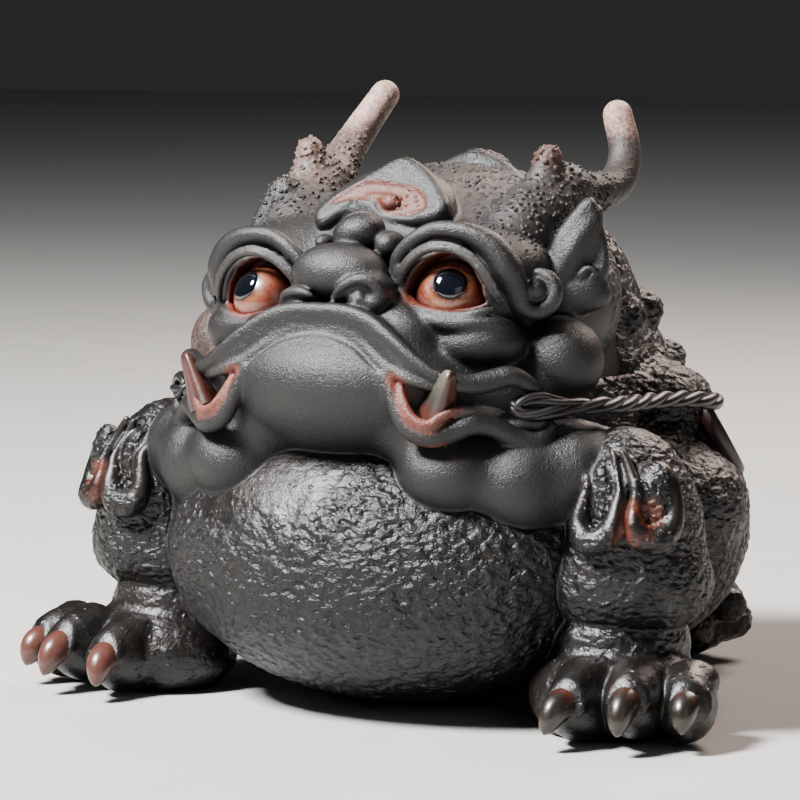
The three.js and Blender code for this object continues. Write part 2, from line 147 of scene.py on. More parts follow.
class Roll:
    """A roll of clay along a path, with its radius at each point."""

    def __init__(self, path, radii):
        self.path = np.array(path, float)
        self.radii = np.broadcast_to(np.array(radii, float), (len(self.path),)).copy()
        self.parts = []
        for i in range(len(self.path) - 1):
            a, b = self.path[i], self.path[i + 1]
            ra, rb = self.radii[i], self.radii[i + 1]
            reach = max(ra, rb)
            low, high = np.minimum(a, b) - reach, np.maximum(a, b) + reach
            self.parts.append((low, high, self.segment(a, b, ra, rb)))

    def mirrored(self):
        return Roll(mirror(self.path), self.radii)

    @staticmethod
    def segment(a, b, ra, rb):
        along = b - a
        length = max(float(along @ along), 1e-9)

        def distance(x, y, z):
            px, py, pz = x - a[0], y - a[1], z - a[2]
            t = np.clip((px * along[0] + py * along[1] + pz * along[2]) / length, 0, 1)
            gap = np.sqrt((px - along[0] * t) ** 2 + (py - along[1] * t) ** 2 + (pz - along[2] * t) ** 2)
            return gap - (ra + (rb - ra) * t)

        return distance


class Slab:
    """A flat piece of clay with rounded edges: a closed outline, as across and up pairs, on a plane."""

    def __init__(self, outline, origin, across, up, half, edge):
        self.outline = np.array(outline, float)
        self.origin = np.array(origin, float)
        self.across = np.array(across, float) / np.linalg.norm(across)
        self.up = np.array(up, float) / np.linalg.norm(up)
        self.half = half
        self.edge = edge
        corners = self.origin + self.outline @ np.array([self.across, self.up])
        out = np.abs(np.cross(self.across, self.up)) * half
        self.parts = [(corners.min(axis=0) - out, corners.max(axis=0) + out, self.distance)]

    def mirrored(self):
        flip = np.array((-1, 1, 1))
        return Slab(self.outline, self.origin * flip, self.across * flip, self.up * flip, self.half,
                    self.edge)

    def distance(self, x, y, z):
        px, py, pz = x - self.origin[0], y - self.origin[1], z - self.origin[2]
        out = np.cross(self.across, self.up)
        u = px * self.across[0] + py * self.across[1] + pz * self.across[2]
        v = px * self.up[0] + py * self.up[1] + pz * self.up[2]
        w = px * out[0] + py * out[1] + pz * out[2]
        nearest = np.full(np.broadcast(u, v).shape, 1e6)
        inside = np.zeros(nearest.shape, bool)
        for (au, av), (bu, bv) in zip(self.outline, np.roll(self.outline, -1, axis=0)):
            eu, ev = bu - au, bv - av
            t = np.clip(((u - au) * eu + (v - av) * ev) / max(eu * eu + ev * ev, 1e-9), 0, 1)
            nearest = np.minimum(nearest, (u - au - eu * t) ** 2 + (v - av - ev * t) ** 2)
            if av != bv:
                inside ^= ((av > v) != (bv > v)) & (u < au + (v - av) * eu / ev)
        flat = np.where(inside, -1, 1) * np.sqrt(nearest) + self.edge
        thick = np.abs(w) - self.half + self.edge
        outside = np.sqrt(np.maximum(flat, 0) ** 2 + np.maximum(thick, 0) ** 2)
        return outside + np.minimum(np.maximum(flat, thick), 0) - self.edge


def both(*forms):
    """The forms and their twins on the toad's other side."""
    return [f for form in forms for f in (form, form.mirrored())]


def smooth_min(a, b, blend):
    if blend <= 0:
        return np.minimum(a, b)
    h = np.clip(0.5 + 0.5 * (b - a) / blend, 0, 1)
    return b + (a - b) * h - blend * h * (1 - h)


# Each step of modelling adds forms or cuts them away; blend is how widely they run into the clay, in mm


def on(forms, blend=1.5):
    return 1, forms, blend


def cut(forms, blend=0.4):
    return -1, forms, blend


class Block:
    """A block of space with a grid of points, where forms are pressed together. Millimetres."""

    def __init__(self, low, high, step):
        self.low = np.array(low, float)
        self.step = step
        self.count = np.ceil((np.array(high) - self.low) / step).astype(int) + 1
        self.lines = [(self.low[k] + step * np.arange(self.count[k])).astype(np.float32) for k in range(3)]

    def span(self, low, high, margin):
        start = np.clip(np.floor((low - margin - self.low) / self.step).astype(int), 0, self.count)
        stop = np.clip(np.ceil((high + margin - self.low) / self.step).astype(int) + 1, 0, self.count)
        return start, stop

    def measured(self, form, margin):
        """The form's own distances, in the part of the block where it matters."""
        lows, highs = zip(*[(part[0], part[1]) for part in form.parts])
        start, stop = self.span(np.min(lows, axis=0), np.max(highs, axis=0), margin)
        if np.any(stop <= start):
            return None, None
        values = np.full(stop - start, FAR, np.float32)
        for low, high, distance in form.parts:
            first, last = self.span(low, high, margin)
            if np.any(last <= first):
                continue
            x, y, z = (self.lines[k][first[k]:last[k]] for k in range(3))
            box = tuple(slice(first[k] - start[k], last[k] - start[k]) for k in range(3))
            found = distance(x[:, None, None], y[None, :, None], z[None, None, :])
            values[box] = np.minimum(values[box], found)
        return tuple(slice(start[k], stop[k]) for k in range(3)), values

    def model(self, steps):
        """How far each grid point is outside the clay, after the steps of modelling in turn."""
        field = np.full(self.count, FAR, np.float32)
        for side, forms, blend in steps:
            for form in forms:
                box, values = self.measured(form, blend + 1.5)
                if box is not None:
                    field[box] = side * smooth_min(side * field[box], values, blend)
        return field

    def at(self, field, points):
        """The field at any points, read between the grid's."""
        place = np.clip((points - self.low) / self.step, 0, self.count - 1.001)
        base = place.astype(int)
        share = (place - base).astype(np.float32)
        total = 0
        for corner in range(8):
            bits = np.array([corner >> k & 1 for k in range(3)])
            weight = np.prod(np.where(bits, share, 1 - share), axis=1)
            i, j, k = (base + bits).T
            total = total + weight * field[i, j, k]
        return total

    def slope(self, field, points):
        """The field's unit direction outwards at any points."""
        reach = 0.6 * self.step
        steps = [np.eye(3)[k] * reach for k in range(3)]
        rise = np.stack([self.at(field, points + d) - self.at(field, points - d) for d in steps], axis=1)
        return rise / np.maximum(np.linalg.norm(rise, axis=1, keepdims=True), 1e-6)


def nearness(points, forms, reach):
    """1 inside any of the forms, fading to 0 at reach mm outside them."""
    x, y, z = points.T
    nearest = np.full(len(points), FAR)
    for form in forms:
        for low, high, distance in form.parts:
            close = np.all((points > low - reach) & (points < high + reach), axis=1)
            nearest[close] = np.minimum(nearest[close], distance(x[close], y[close], z[close]))
    fade = np.clip(1 - nearest / reach, 0, 1)
    return fade * fade * (3 - 2 * fade)


def skin(block, field):
    """The skin where a field is zero, as (points, four-sided faces), points in mm."""
    for axis in range(3):
        for side in (0, -1):
            edge = [slice(None)] * 3
            edge[axis] = side
            field[tuple(edge)] = np.maximum(field[tuple(edge)], 0.1)
    inside = field < 0
    cells = np.array(field.shape) - 1
    strides = np.array([cells[1] * cells[2], cells[2], 1])
    ids = []
    crossings = []
    quads = []
    for axis in range(3):
        ahead = [slice(None)] * 3
        behind = [slice(None)] * 3
        ahead[axis] = slice(1, None)
        behind[axis] = slice(None, -1)
        edge = np.argwhere(inside[tuple(behind)] != inside[tuple(ahead)])
        i, j, k = edge.T
        a, b = field[tuple(behind)][i, j, k], field[tuple(ahead)][i, j, k]
        crossing = edge.astype(np.float64)
        crossing[:, axis] += a / (a - b)
        u, v = (axis + 1) % 3, (axis + 2) % 3
        ring = []
        for du, dv in ((0, 0), (-1, 0), (-1, -1), (0, -1)):
            cell = edge.copy()
            cell[:, u] += du
            cell[:, v] += dv
            ring.append(cell @ strides)
            ids.append(cell @ strides)
            crossings.append(crossing)
        ring = np.stack(ring, axis=1)
        outward = a < 0
        ring[outward] = ring[outward][:, ::-1]
        quads.append(ring)
    ids = np.concatenate(ids)
    crossings = np.concatenate(crossings)
    names, where = np.unique(ids, return_inverse=True)
    number = np.bincount(where)
    points = np.stack([np.bincount(where, crossings[:, k]) / number for k in range(3)], axis=1)
    faces = np.searchsorted(names, np.concatenate(quads))
    return points * block.step + block.low, faces


def mesh_of(name, points, faces, masks=None):
    """A Blender object in the frame's metres, with a number on each point for each mask."""
    mesh = bpy.data.meshes.new(name)
    placed = ((points + SETTING_OUT) * MM).astype(np.float32)
    mesh.vertices.add(len(placed))
    mesh.vertices.foreach_set("co", placed.ravel())
    sides = faces.shape[1]
    mesh.loops.add(faces.size)
    mesh.loops.foreach_set("vertex_index", faces.ravel().astype(np.int32))
    mesh.polygons.add(len(faces))
    mesh.polygons.foreach_set("loop_start", np.arange(0, faces.size, sides, dtype=np.int32))
    mesh.polygons.foreach_set("use_smooth", np.ones(len(faces), bool))
    for mask, values in (masks or {}).items():
        layer = mesh.attributes.new(mask, "FLOAT", "POINT")
        layer.data.foreach_set("value", np.asarray(values, np.float32))
    mesh.update(calc_edges=True)
    mesh.validate()
    obj = bpy.data.objects.new(name, mesh)
    bpy.context.collection.objects.link(obj)
    return obj


# The toad's forms, group by group, in millimetres in the setting-out frame


BARREL = (0, 42, 38)
BARREL_RADII = (34, 41, 38)


def wart_places():
    """Places of the warts: staggered rows over the back, as (centre, size)."""
    rows = ((56, 22, 2, 3.6), (38, 14, 4, 3.3), (22, 26, 3, 3.0), (-16, 24, 2, 3.2))
    places = []
    for lift, first, number, size in rows:
        for i in range(number):
            up, aside = math.radians(lift), math.radians(first + 24 * i)
            out = (math.sin(aside) * math.cos(up), math.cos(aside) * math.cos(up), math.sin(up))
            places.append(([c + r * o for c, r, o in zip(BARREL, BARREL_RADII, out)], size))
    return places


def body():
    """Belly, barrel, nape, rump, haunches, shoulders, the knobs of the spine, warts and the hind leg."""
    masses = [
        Lump((0, 14, 24), (40.2, 31.7, 24.8)), Lump(BARREL, BARREL_RADII),
        Lump((0, 40, 64), (27.4, 26, 20)), Lump((0, 60, 22), (33, 24, 25)),
    ]
    flanks = both(Lump((26, 46, 27), (21, 21, 22)), Lump((35, 15, 36), (15, 13, 10), lean=15))
    humps = both(Lump((33, 47, 47), (7.5, 9, 6)), Lump((41, 38, 31), (10, 12, 9)))
    spine = [Lump((0, y, z), (4.3, length, 4.4)) for y, z, length in
             ((44, 84, 7), (56, 80, 5.5), (67, 71, 5), (76, 59, 4.6))]
    warts = both(*[Lump(centre, (size, size, size)) for centre, size in wart_places()])
    shank = spline([(2, 76, 8), (13, 77.6, 7), (24, 76, 6)], 14)
    toes = []
    for tip in ((30.5, 65, 5), (35.5, 70, 9), (33, 79, 5)):
        middle = ((22 + tip[0]) / 2, (75 + tip[1]) / 2, tip[2] + 1)
        toes.append(Roll(spline([(22, 75, 6), middle, tip], 10), rounded(3.8, 10, 0.25)))
    return [
        on(masses, 5), on(flanks, 3), on(humps, 3), on(spine, 2), on(warts, 1.6),
        on([Lump((0, 72, 14), (18, 14, 18))], 4), on([Roll(shank, np.linspace(8.5, 6.6, 14))], 3),
        on([Lump((24, 76, 6), (7, 7, 6.8))], 2), on(toes, 1.5),
    ]


EYE = np.array([17.6, 3.4, 67.8])
BALL = np.array([16.5, 2.1, 67.1])
RIGHT_BALL = np.array([-17.2, 1.3, 65.4])
BALL_RADIUS = 5.75
GAZE = np.array([0.36, -0.79, 0.5])
RIGHT_DROP = np.array([0.7, 0, -1.9])
EYELID = [(10.6, 67.7), (11, 69.6), (12, 71.3), (14.2, 73.4), (17, 74.5), (19.4, 74.1), (22, 72.6),
          (23.6, 69.6), (24.2, 66.7), (22.3, 66), (19.2, 65.6), (16.5, 65.8), (13.8, 66.3), (11.8, 66.9)]
UPPER_LID = [(9.8, -2.6, 67.8), (10, -2.9, 70), (11.3, -3.4, 72.1), (13.9, -3.8, 74.3), (17.1, -4, 75.3),
             (19.8, -3.6, 75), (22.5, -3, 73.6), (24.6, -2.4, 71.1), (25.9, -1.2, 68), (26.6, 0.6, 65.8)]
LOWER_LID = [(9.8, -2.4, 67.7), (11.2, -3.2, 66.8), (13.8, -3.9, 66.2), (17.6, -4.2, 65.1),
             (20.9, -3.7, 64.8), (23.8, -2.6, 65.3), (25.9, -0.9, 66)]
POUCH = [(10.6, -2.6, 66), (13.8, -4, 65), (17, -4.6, 63.9), (20.4, -4, 63.4), (23.6, -2.6, 63.6),
         (26.2, -0.4, 63.4), (27.6, 3, 62.4)]
BROW = [(8.6, -2.2, 69.8), (9, -2.4, 73.2), (11.6, -2.4, 76), (15.2, -2, 77.9), (18.4, -1.7, 78.1),
        (21.6, -1, 77.5), (24.8, 0.2, 75.5), (26.7, 1.2, 72.4), (27.4, 2.8, 69.2), (28.1, 4, 66.4),
        (30, 5.2, 65.2), (32, 6.2, 66.4), (32.7, 6.6, 68.7), (31.7, 6.4, 70.6), (30, 5.8, 71.3)]
BROW_RADII = (0.8, 1.1, 1.3, 1.4, 1.5, 1.7, 2.2, 2.5, 2.2, 1.8, 1.5, 1.4, 1.3, 1.1, 0.8)


def uneven(*forms):
    """The forms and their twins; the right eye and nostril sit a little lower and further in."""
    return list(forms) + shifted([form.mirrored() for form in forms], RIGHT_DROP)


def skull():
    """Broad skull, chin, jowls and the bulges of cheeks and muzzle."""
    return [
        on([Lump((0, 24, 63.5), (32.5, 31, 21.5), tilt=18), Lump((0, 12, 52), (34, 20, 13))], 3),
        on([Lump((0, 0.2, 52), (22.4, 17.4, 11.8), tilt=-12)], 4),
        on(both(Lump((13.6, 0.2, 46), (8.6, 10.6, 7.4)), Lump((19.6, -1.2, 40), (9.4, 11.4, 8)),
                Lump((28.4, 2.8, 38.5), (9.4, 10, 9)), Lump((35, 8, 39.4), (8.6, 9.4, 8.6))), 2.2),
        on(both(Lump((17, 10, 70.5), (12, 10, 8), turn=20)), 2),
        on(both(Lump((30.6, 12, 56.9), (7.3, 7.2, 7.2))), 0.9),
        on(both(Lump((21.2, 2.2, 60.2), (7.9, 6.8, 5.0), lean=-3, turn=24)), 1.0),
        on(both(Lump((11, -4, 62.8), (6.4, 5, 3.8), lean=22)), 2.2),
    ]


UPPER_LIP = [(0, -9.8, 64.1), (4.2, -10, 63.9), (8.4, -10.4, 62.8), (12.4, -10.9, 59.9), (16, -11, 57.1),
             (19.4, -9.9, 55.5), (22.8, -7.9, 54.5)]
LIP_RIDGE = [(0, -11.2, 65.4), (4.2, -11.3, 65.4), (9, -11.7, 64.2), (14.4, -12.4, 60.8),
             (18, -12.2, 58), (20.8, -11.2, 56), (23.4, -9.5, 54.8), (25.2, -7.6, 54.4),
             (27.1, -5.4, 54.8), (29.7, -2.8, 55.5), (31.5, -0.4, 54.1), (32.9, 1.6, 52.1)]
LIP_RIM = [(0, -11.2, 62.7), (4, -11.5, 62.3), (7.4, -11.8, 61.3), (12, -12.6, 57.5), (14.8, -12.9, 56.2),
           (17.8, -12.6, 54.9), (21, -10.9, 53.9), (23.6, -9.1, 53.2)]
LOWER_LIP = [(0, -11.8, 60.8), (6.6, -12.2, 59.6), (12.4, -12.8, 55.8), (15.2, -13.3, 50.4),
             (17.2, -13.2, 47.6), (20.4, -12.4, 46.5), (23, -10.2, 47.2), (25.8, -8, 48.4),
             (28.1, -5.8, 47.9), (30.7, -3.2, 46), (33.3, -0.6, 45.6), (34.7, 1.2, 47.6)]
LIP_RIDGE_RADII = (1.1, 1.1, 1.1, 1.1, 1.1, 1.2, 1.5, 1.7, 1.8, 1.7, 1.4, 0.9)
LOWER_LIP_RADII = (1.2, 1.2, 1.3, 1.4, 1.6, 1.8, 1.9, 1.9, 1.8, 1.6, 1.4, 1.0)
LEDGE = [(15.4, -12.8, 54.8), (16.6, -13.6, 51.6), (18.4, -14, 49.2), (20.8, -13.5, 48.4),
         (22.6, -12, 49.8), (24.4, -10, 50.7), (27, -7.4, 50.6), (30, -4.6, 50)]
OPENING = [(14.6, -13, 55), (17.4, -12.6, 52), (20.2, -11.2, 50.4), (22.6, -9.2, 51.0), (26, -6.8, 51.2),
           (30, -3.8, 50.2), (33.6, -0.4, 49.6)]


def across(points):
    """A path on the toad's left carried on over the middle to its right."""
    return [(-x, y, z) for x, y, z in points[:0:-1]] + list(points)


def along_path(radii, points, count):
    """Radii given at a path's own points, spread over its smooth curve."""
    steps = np.linalg.norm(np.diff(np.array(points, float), axis=0), axis=1)
    reach = np.concatenate([[0], np.cumsum(steps)])
    return np.interp(np.linspace(0, reach[-1], count), reach, radii)


def mouth():
    """Wide down-turned mouth: a broad upper lip with a ridge and a rim, a thin lower lip and open corners."""
    upper = spline(across(UPPER_LIP), 130)
    ridge = spline(across(LIP_RIDGE), 110)
    ridge_radii = along_path(LIP_RIDGE_RADII[:0:-1] + LIP_RIDGE_RADII, across(LIP_RIDGE), 110)
    rim = spline(across(LIP_RIM), 110)
    lower = spline(across(LOWER_LIP), 150)
    lower_radii = along_path(LOWER_LIP_RADII[:0:-1] + LOWER_LIP_RADII, across(LOWER_LIP), 150)
    parting = spline(across([(0, -12.9, 61.9), (6.6, -13.2, 60.5), (12.2, -14.1, 56.7)]), 60)
    opening = Roll(spline(OPENING, 30), along_path((0.5, 1.2, 2.2, 1.8, 1.9, 2.4, 2.0), OPENING, 30))
    return [
        on([Roll(upper, rounded(2.3, 130, 0.25, 0.1))], 1.2),
        cut(both(opening), 0.8),
        on([Roll(lower, lower_radii)], 0.8),
        on(both(Roll(spline(LEDGE, 50), rounded(0.85, 50, 0.3))), 0.7),
        on([Roll(ridge, ridge_radii)], 0.9),
        on([Roll(rim, rounded(0.85, 110, 0.2))], 0.5),
        cut([Roll(parting, 0.45)], 0.4),
    ]


def nose():
    """Bulb of the nose, the folds over it and the nostrils, each a thick ridge round a slit."""
    ridge = [(1.7, -9.9, 67.3), (4.4, -9.9, 69.5), (6.5, -9.6, 70.3), (8.4, -8.8, 69.7), (9.2, -8.2, 68.3),
             (8.8, -8.4, 66.8), (7.3, -9, 66.1), (5.6, -9.6, 66)]
    slit = [(2.6, -11, 67.2), (5.2, -10.9, 68.5), (6.9, -10.6, 68.9), (7.8, -10, 68.2)]
    far_ridge = [(-9, -7.8, 65.4), (-7.9, -8.6, 67.2), (-5.2, -9.4, 67.9), (-2.4, -10, 67.5)]
    far_slit = [(-7.6, -9.6, 66.2), (-5, -10.3, 66.8), (-2.4, -10.8, 66.9)]
    return [
        on([Lump((0.4, 0.4, 77), (4.5, 4, 3.1), lean=-16)], 0.7),
        on([Lump((5.9, 0.8, 75.2), (2.4, 3, 2.3)), Lump((-6.2, 0.8, 75.2), (1.5, 2, 1.4))], 0.7),
        on([Lump((-0.3, -4.4, 70.9), (8.2, 5.8, 4.8))], 0.8),
        on([Lump((6.2, -6.1, 67.9), (4.1, 4.3, 3.6)), Lump((-6, -5.4, 66.4), (3.8, 4, 2.9))], 0.9),
        on([Roll(spline(ridge, 50), rounded(1.15, 50, 0.2, 0.5)),
            Roll(spline(far_ridge, 30), rounded(0.9, 30, 0.3, 0.5))], 0.7),
        cut([Roll(spline(slit, 20), np.linspace(0.7, 0.9, 20)), Roll(spline(far_slit, 14), 0.6)], 0.3),
        on([Lump((5.9, -9.6, 67), (1.5, 1.1, 0.8))], 0.4),
    ]


def eye_opening():
    """What the lids leave open: a lens-shaped block."""
    lens = [(x - EYE[0], z - EYE[2]) for x, z in EYELID]
    return Slab(lens, EYE + (0, -9.4, 0), (1, 0, 0), (0, 0, 1), 9, 0.1)


def eyes():
    """Lids round each lens-shaped opening, the pouch under it, and the brow over it that ends in a curl."""
    upper = spline(UPPER_LID, 40)
    brow = spline(BROW, 90)
    return [
        on(uneven(Lump(EYE + (-0.2, 0.4, 0.6), (9.8, 7.9, 9.4), turn=12)), 1.5),
        on(uneven(Roll(spline(POUCH, 34), rounded(1.2, 34, 0.3))), 0.9),
        on(uneven(Roll(spline(LOWER_LID, 30), rounded(0.7, 30, 0.2))), 0.5),
        on(uneven(Roll(upper, rounded(0.6, 40, 0.2))), 0.6),
        cut(uneven(eye_opening()), 0.4),
        cut([Lump(BALL, (BALL_RADIUS + 0.1,) * 3), Lump(RIGHT_BALL, (BALL_RADIUS + 0.1,) * 3)], 0.1),
        on(uneven(Roll(EYE + (upper - EYE) * (1.12, 0.98, 1.12), rounded(0.4, 40, 0.2))), 0.3),
        on(uneven(Roll(brow, along_path(BROW_RADII, BROW, 90))), 0.5),
        on(uneven(Lump((29.9, 5.2, 68.7), (1.9, 1.9, 1.9))), 0.2),
    ]


PLATE = [(-8.2, -7.6), (-10, -7.6), (-11, -5), (-9.6, -2.6), (-7.1, -0.2), (-2.1, 4.2), (0.6, 6.3),
         (2.4, 6.7), (4.6, 5.8), (7.3, 4.1), (10.5, 1.2), (12.6, -1.4), (13.2, -3.4), (12.2, -5.2),
         (9.1, -6.4), (5.3, -6.4), (1.4, -5.8), (-0.4, -5), (-3.2, -4.4), (-6, -5.6)]
FIELD = [(-8.2, -3.6), (-6.2, -1), (-2.9, 0.9), (1.9, 0.6), (5.9, 0), (8.8, -2), (9.2, -3.4), (7.4, -4.7),
         (5, -5.3), (2.7, -4.9), (1, -3.6), (0.2, -2.6), (-3.4, -2.4), (-5.4, -2.6)]
PLATE_SLOPE = math.radians(52)


def on_plate(u, v, rise=0):
    """A place on the brow plate: across, up its slope, and out from it."""
    return (u, 9 + math.cos(PLATE_SLOPE) * v - math.sin(PLATE_SLOPE) * rise,
            83.5 + math.sin(PLATE_SLOPE) * v + math.cos(PLATE_SLOPE) * rise)


def plate_slab(outline, rise, half, edge):
    up = (0, math.cos(PLATE_SLOPE), math.sin(PLATE_SLOPE))
    smooth = spline([(u, v, 0) for u, v in outline], 48, closed=True)[:-1, :2]
    return Slab(smooth, on_plate(0, 0, rise), (1, 0, 0), up, half, edge)


def brow_plate():
    """Cloud-shaped plate on the forehead: a broad smooth rim round a sunk field, and a ball in its curl."""
    right = ((0.2, -2.4), (0.6, -3.6), (2.6, -5.1), (5, -5.5), (7.6, -4.9), (9.4, -3.3))
    groove = [on_plate(u, v, 1) for u, v in right]
    left = [on_plate(u, v, 1) for u, v in ((-4.9, -1.9), (-3.9, -3.4), (-5.2, -4.7))]
    return [
        on([Lump(on_plate(0.8, -1.5, -3), (11.6, 7.6, 3.6), tilt=52)], 1.5),
        on([plate_slab(PLATE, -1.2, 2.2, 1.5)], 0.3),
        cut([plate_slab(FIELD, 1.3, 0.9, 0.5)], 0.5),
        cut([Roll(spline(groove, 30), rounded(0.55, 30))], 0.3),
        cut([Roll(spline(left, 16), rounded(0.5, 16))], 0.3),
        on([Lump(on_plate(2.7, -3, 0.6), (1.7, 1.5, 1.5), tilt=52)], 0.2),
        on([Roll([on_plate(2, -2.4, 0.6), on_plate(-2, -1.6, 0.2)], [1.1, 0.6])], 0.5),
    ]


def crown():
    """Flat pitted top behind the plate, a crest rolled over to either side, and a knob behind it."""
    crest = [(0.6, 41, 86.6), (4.6, 41, 85), (9.6, 40, 81.8), (14, 38, 78.6)]
    return [
        on([Lump((1, 27, 80.4), (10.5, 20, 6))], 3),
        on(both(Roll(spline(crest, 16), np.linspace(2.3, 1.8, 16))), 1.0),
        on([Lump((0, 55.8, 82), (2.6, 3, 2.8))], 1),
    ]


EAR = [(-4, -8.4), (-5.2, -4), (-4.9, 1), (-3.4, 4.6), (-0.6, 8.2), (2, 11), (3.2, 11.2), (4.1, 7.6),
       (4.7, 3.6), (4.4, -0.4), (3, -3), (1, -6)]
RIGHT_EAR = [(-4, -8.3), (-4.2, -3.4), (-3, 1.9), (-1.6, 5.3), (0.4, 6.9), (2.2, 6.9), (4, 4.2),
             (4.2, -2.1), (2.8, -8.3)]


def left_ear():
    """Leaf-shaped ear with a swelling inner side, a small curl under it and a rounded lobe."""
    origin = np.array((31.4, 18, 71.6))
    across_ear = np.array((0.83, 0.54, 0.1)) / np.linalg.norm((0.83, 0.54, 0.1))
    up = np.array((0.1, 0.14, 1)) / np.linalg.norm((0.1, 0.14, 1))
    out = np.cross(across_ear, up)
    place = lambda points: [origin + across_ear * u + up * v + out * w for u, v, w in points]
    outline = spline([(u, v, 0) for u, v in EAR], 40, closed=True)[:-1, :2]
    inner = spline(place([(-3.4, -3.6, 0.7), (-3, -0.2, 0.9), (-1.6, 3.4, 0.9), (0, 6.4, 0.7),
                          (1.8, 9, 0.1)]), 22)
    hollow = spline(place([(1.6, 0.6, 2.4), (2.6, 2.8, 2.4), (2.9, 5.6, 2.3)]), 10)
    curl = spline(place([(0, -1.4, 1.9), (1, -0.4, 2.1), (2.2, -0.9, 2.1), (2, -2, 1.9)]), 16)
    turn = math.degrees(math.atan2(across_ear[1], across_ear[0]))
    return [
        on([Slab(outline, origin, across_ear, up, 1.7, 1.3)], 0.8),
        on([Roll(inner, rounded(2.1, 22, 0.6))], 1.0),
        cut([Roll(hollow, np.linspace(0.9, 0.5, 10))], 1.2),
        on([Lump(place([(0.8, -4.6, 0)])[0], (5, 2.4, 3.2), turn=turn)], 0.8),
        on([Roll(curl, np.linspace(0.5, 0.4, 16))], 0.4),
    ]


def right_ear():
    """The right ear leans in against its horn, its smooth front to the viewer."""
    outline = spline([(u, v, 0) for u, v in RIGHT_EAR], 40, closed=True)[:-1, :2]
    return [on([Slab(outline, (-24.4, 15, 78), (1, -0.1, 0), (0, 0.3, 1), 2.1, 2)], 1.0)]


def shifted(forms, by):
    """The same forms, moved."""
    moved = []
    for form in forms:
        if isinstance(form, Roll):
            moved.append(Roll(form.path + by, form.radii))
        elif isinstance(form, Slab):
            moved.append(Slab(form.outline, form.origin + by, form.across, form.up, form.half, form.edge))
        else:
            twin = Lump(form.centre + by, form.radii)
            twin.axes = form.axes
            reach = np.sqrt(((twin.axes * twin.radii) ** 2).sum(axis=1))
            twin.parts = [(twin.centre - reach, twin.centre + reach, twin.distance)]
            moved.append(twin)
    return moved


def head():
    return skull() + crown() + mouth() + nose() + eyes() + brow_plate() + left_ear() + right_ear()


def horns():
    """Each horn is a pitted trunk with a short front tine and a long rear tine; the left one hooks more."""
    hooked = [(24, 36.6, 82.4), (24.8, 44, 83.6), (24.4, 48.4, 88.2), (22.4, 49.6, 94.8)]
    slanting = [(-24, 37, 87), (-24.4, 44, 91.6), (-22.4, 49, 97.6)]
    trunks = []
    tines = []
    for side, fork, tine, rear in (
        (1, (22.2, 29.5, 82.6), (22.6, 23.8, 88.4), hooked),
        (-1, (-22.2, 28.6, 83.4), (-22.6, 23.8, 88.8), slanting),
    ):
        trunk = spline([(side * 19.5, 13, 73), (side * 21.4, 20, 79), fork], 14)
        front = spline([(side * 21.6, 22, 80), (side * 22.2, 23.4, 85), tine], 10)
        back = spline([fork] + rear, 30)
        trunks += [Roll(trunk, np.linspace(6.3, 4.7, 14)), Lump(fork, (4.3, 4.6, 4.3))]
        tines += [Roll(front, np.linspace(4.2, 2.3, 10)),
                  Roll(back, 3.8 - 1.3 * np.linspace(0, 1, 30) ** 0.8)]
    return [on(trunks, 2), on(tines, 1.6)]


FOREARM = Lump((44.2, 11.6, 31), (10.8, 12, 16), lean=-10)


LEFT_LOOP = [(44.8, 3, 43.7), (46.3, 2.2, 41), (47.3, 1, 38.1), (47.1, 0, 35.6), (46.9, -0.9, 32.9),
             (45.2, -1.5, 30.6), (42.8, -1.4, 30.4), (41, -1, 32.6), (41.2, -0.4, 35.6),
             (41.6, 0.6, 38.4), (40.6, 2, 40.6)]
RIGHT_LOOP = [(46.4, 3.2, 43.9), (48.2, 2.6, 40.8), (49.6, 1.6, 37.8), (49.6, 0.8, 35), (50, 0.3, 32.6),
              (51.3, 1.1, 30.8), (53.4, 2.8, 31), (54.4, 4.6, 33), (54.2, 5.6, 36), (53.4, 6.2, 39.2),
              (52, 6.8, 41.4)]
TOES = (((42.6, -3.4, 5), 4, (41.6, -14.2, 1.5)), ((51.4, -1.8, 6), 14, (53.2, -12.4, 2.0)),
        ((57.8, 2.8, 5.2), 32, (61.2, -6, 2.0)))


def nail_root(centre, aim):
    angle = math.radians(aim)
    return np.array(centre) + (4.2 * math.sin(angle), -4.2 * math.cos(angle), 0.8)


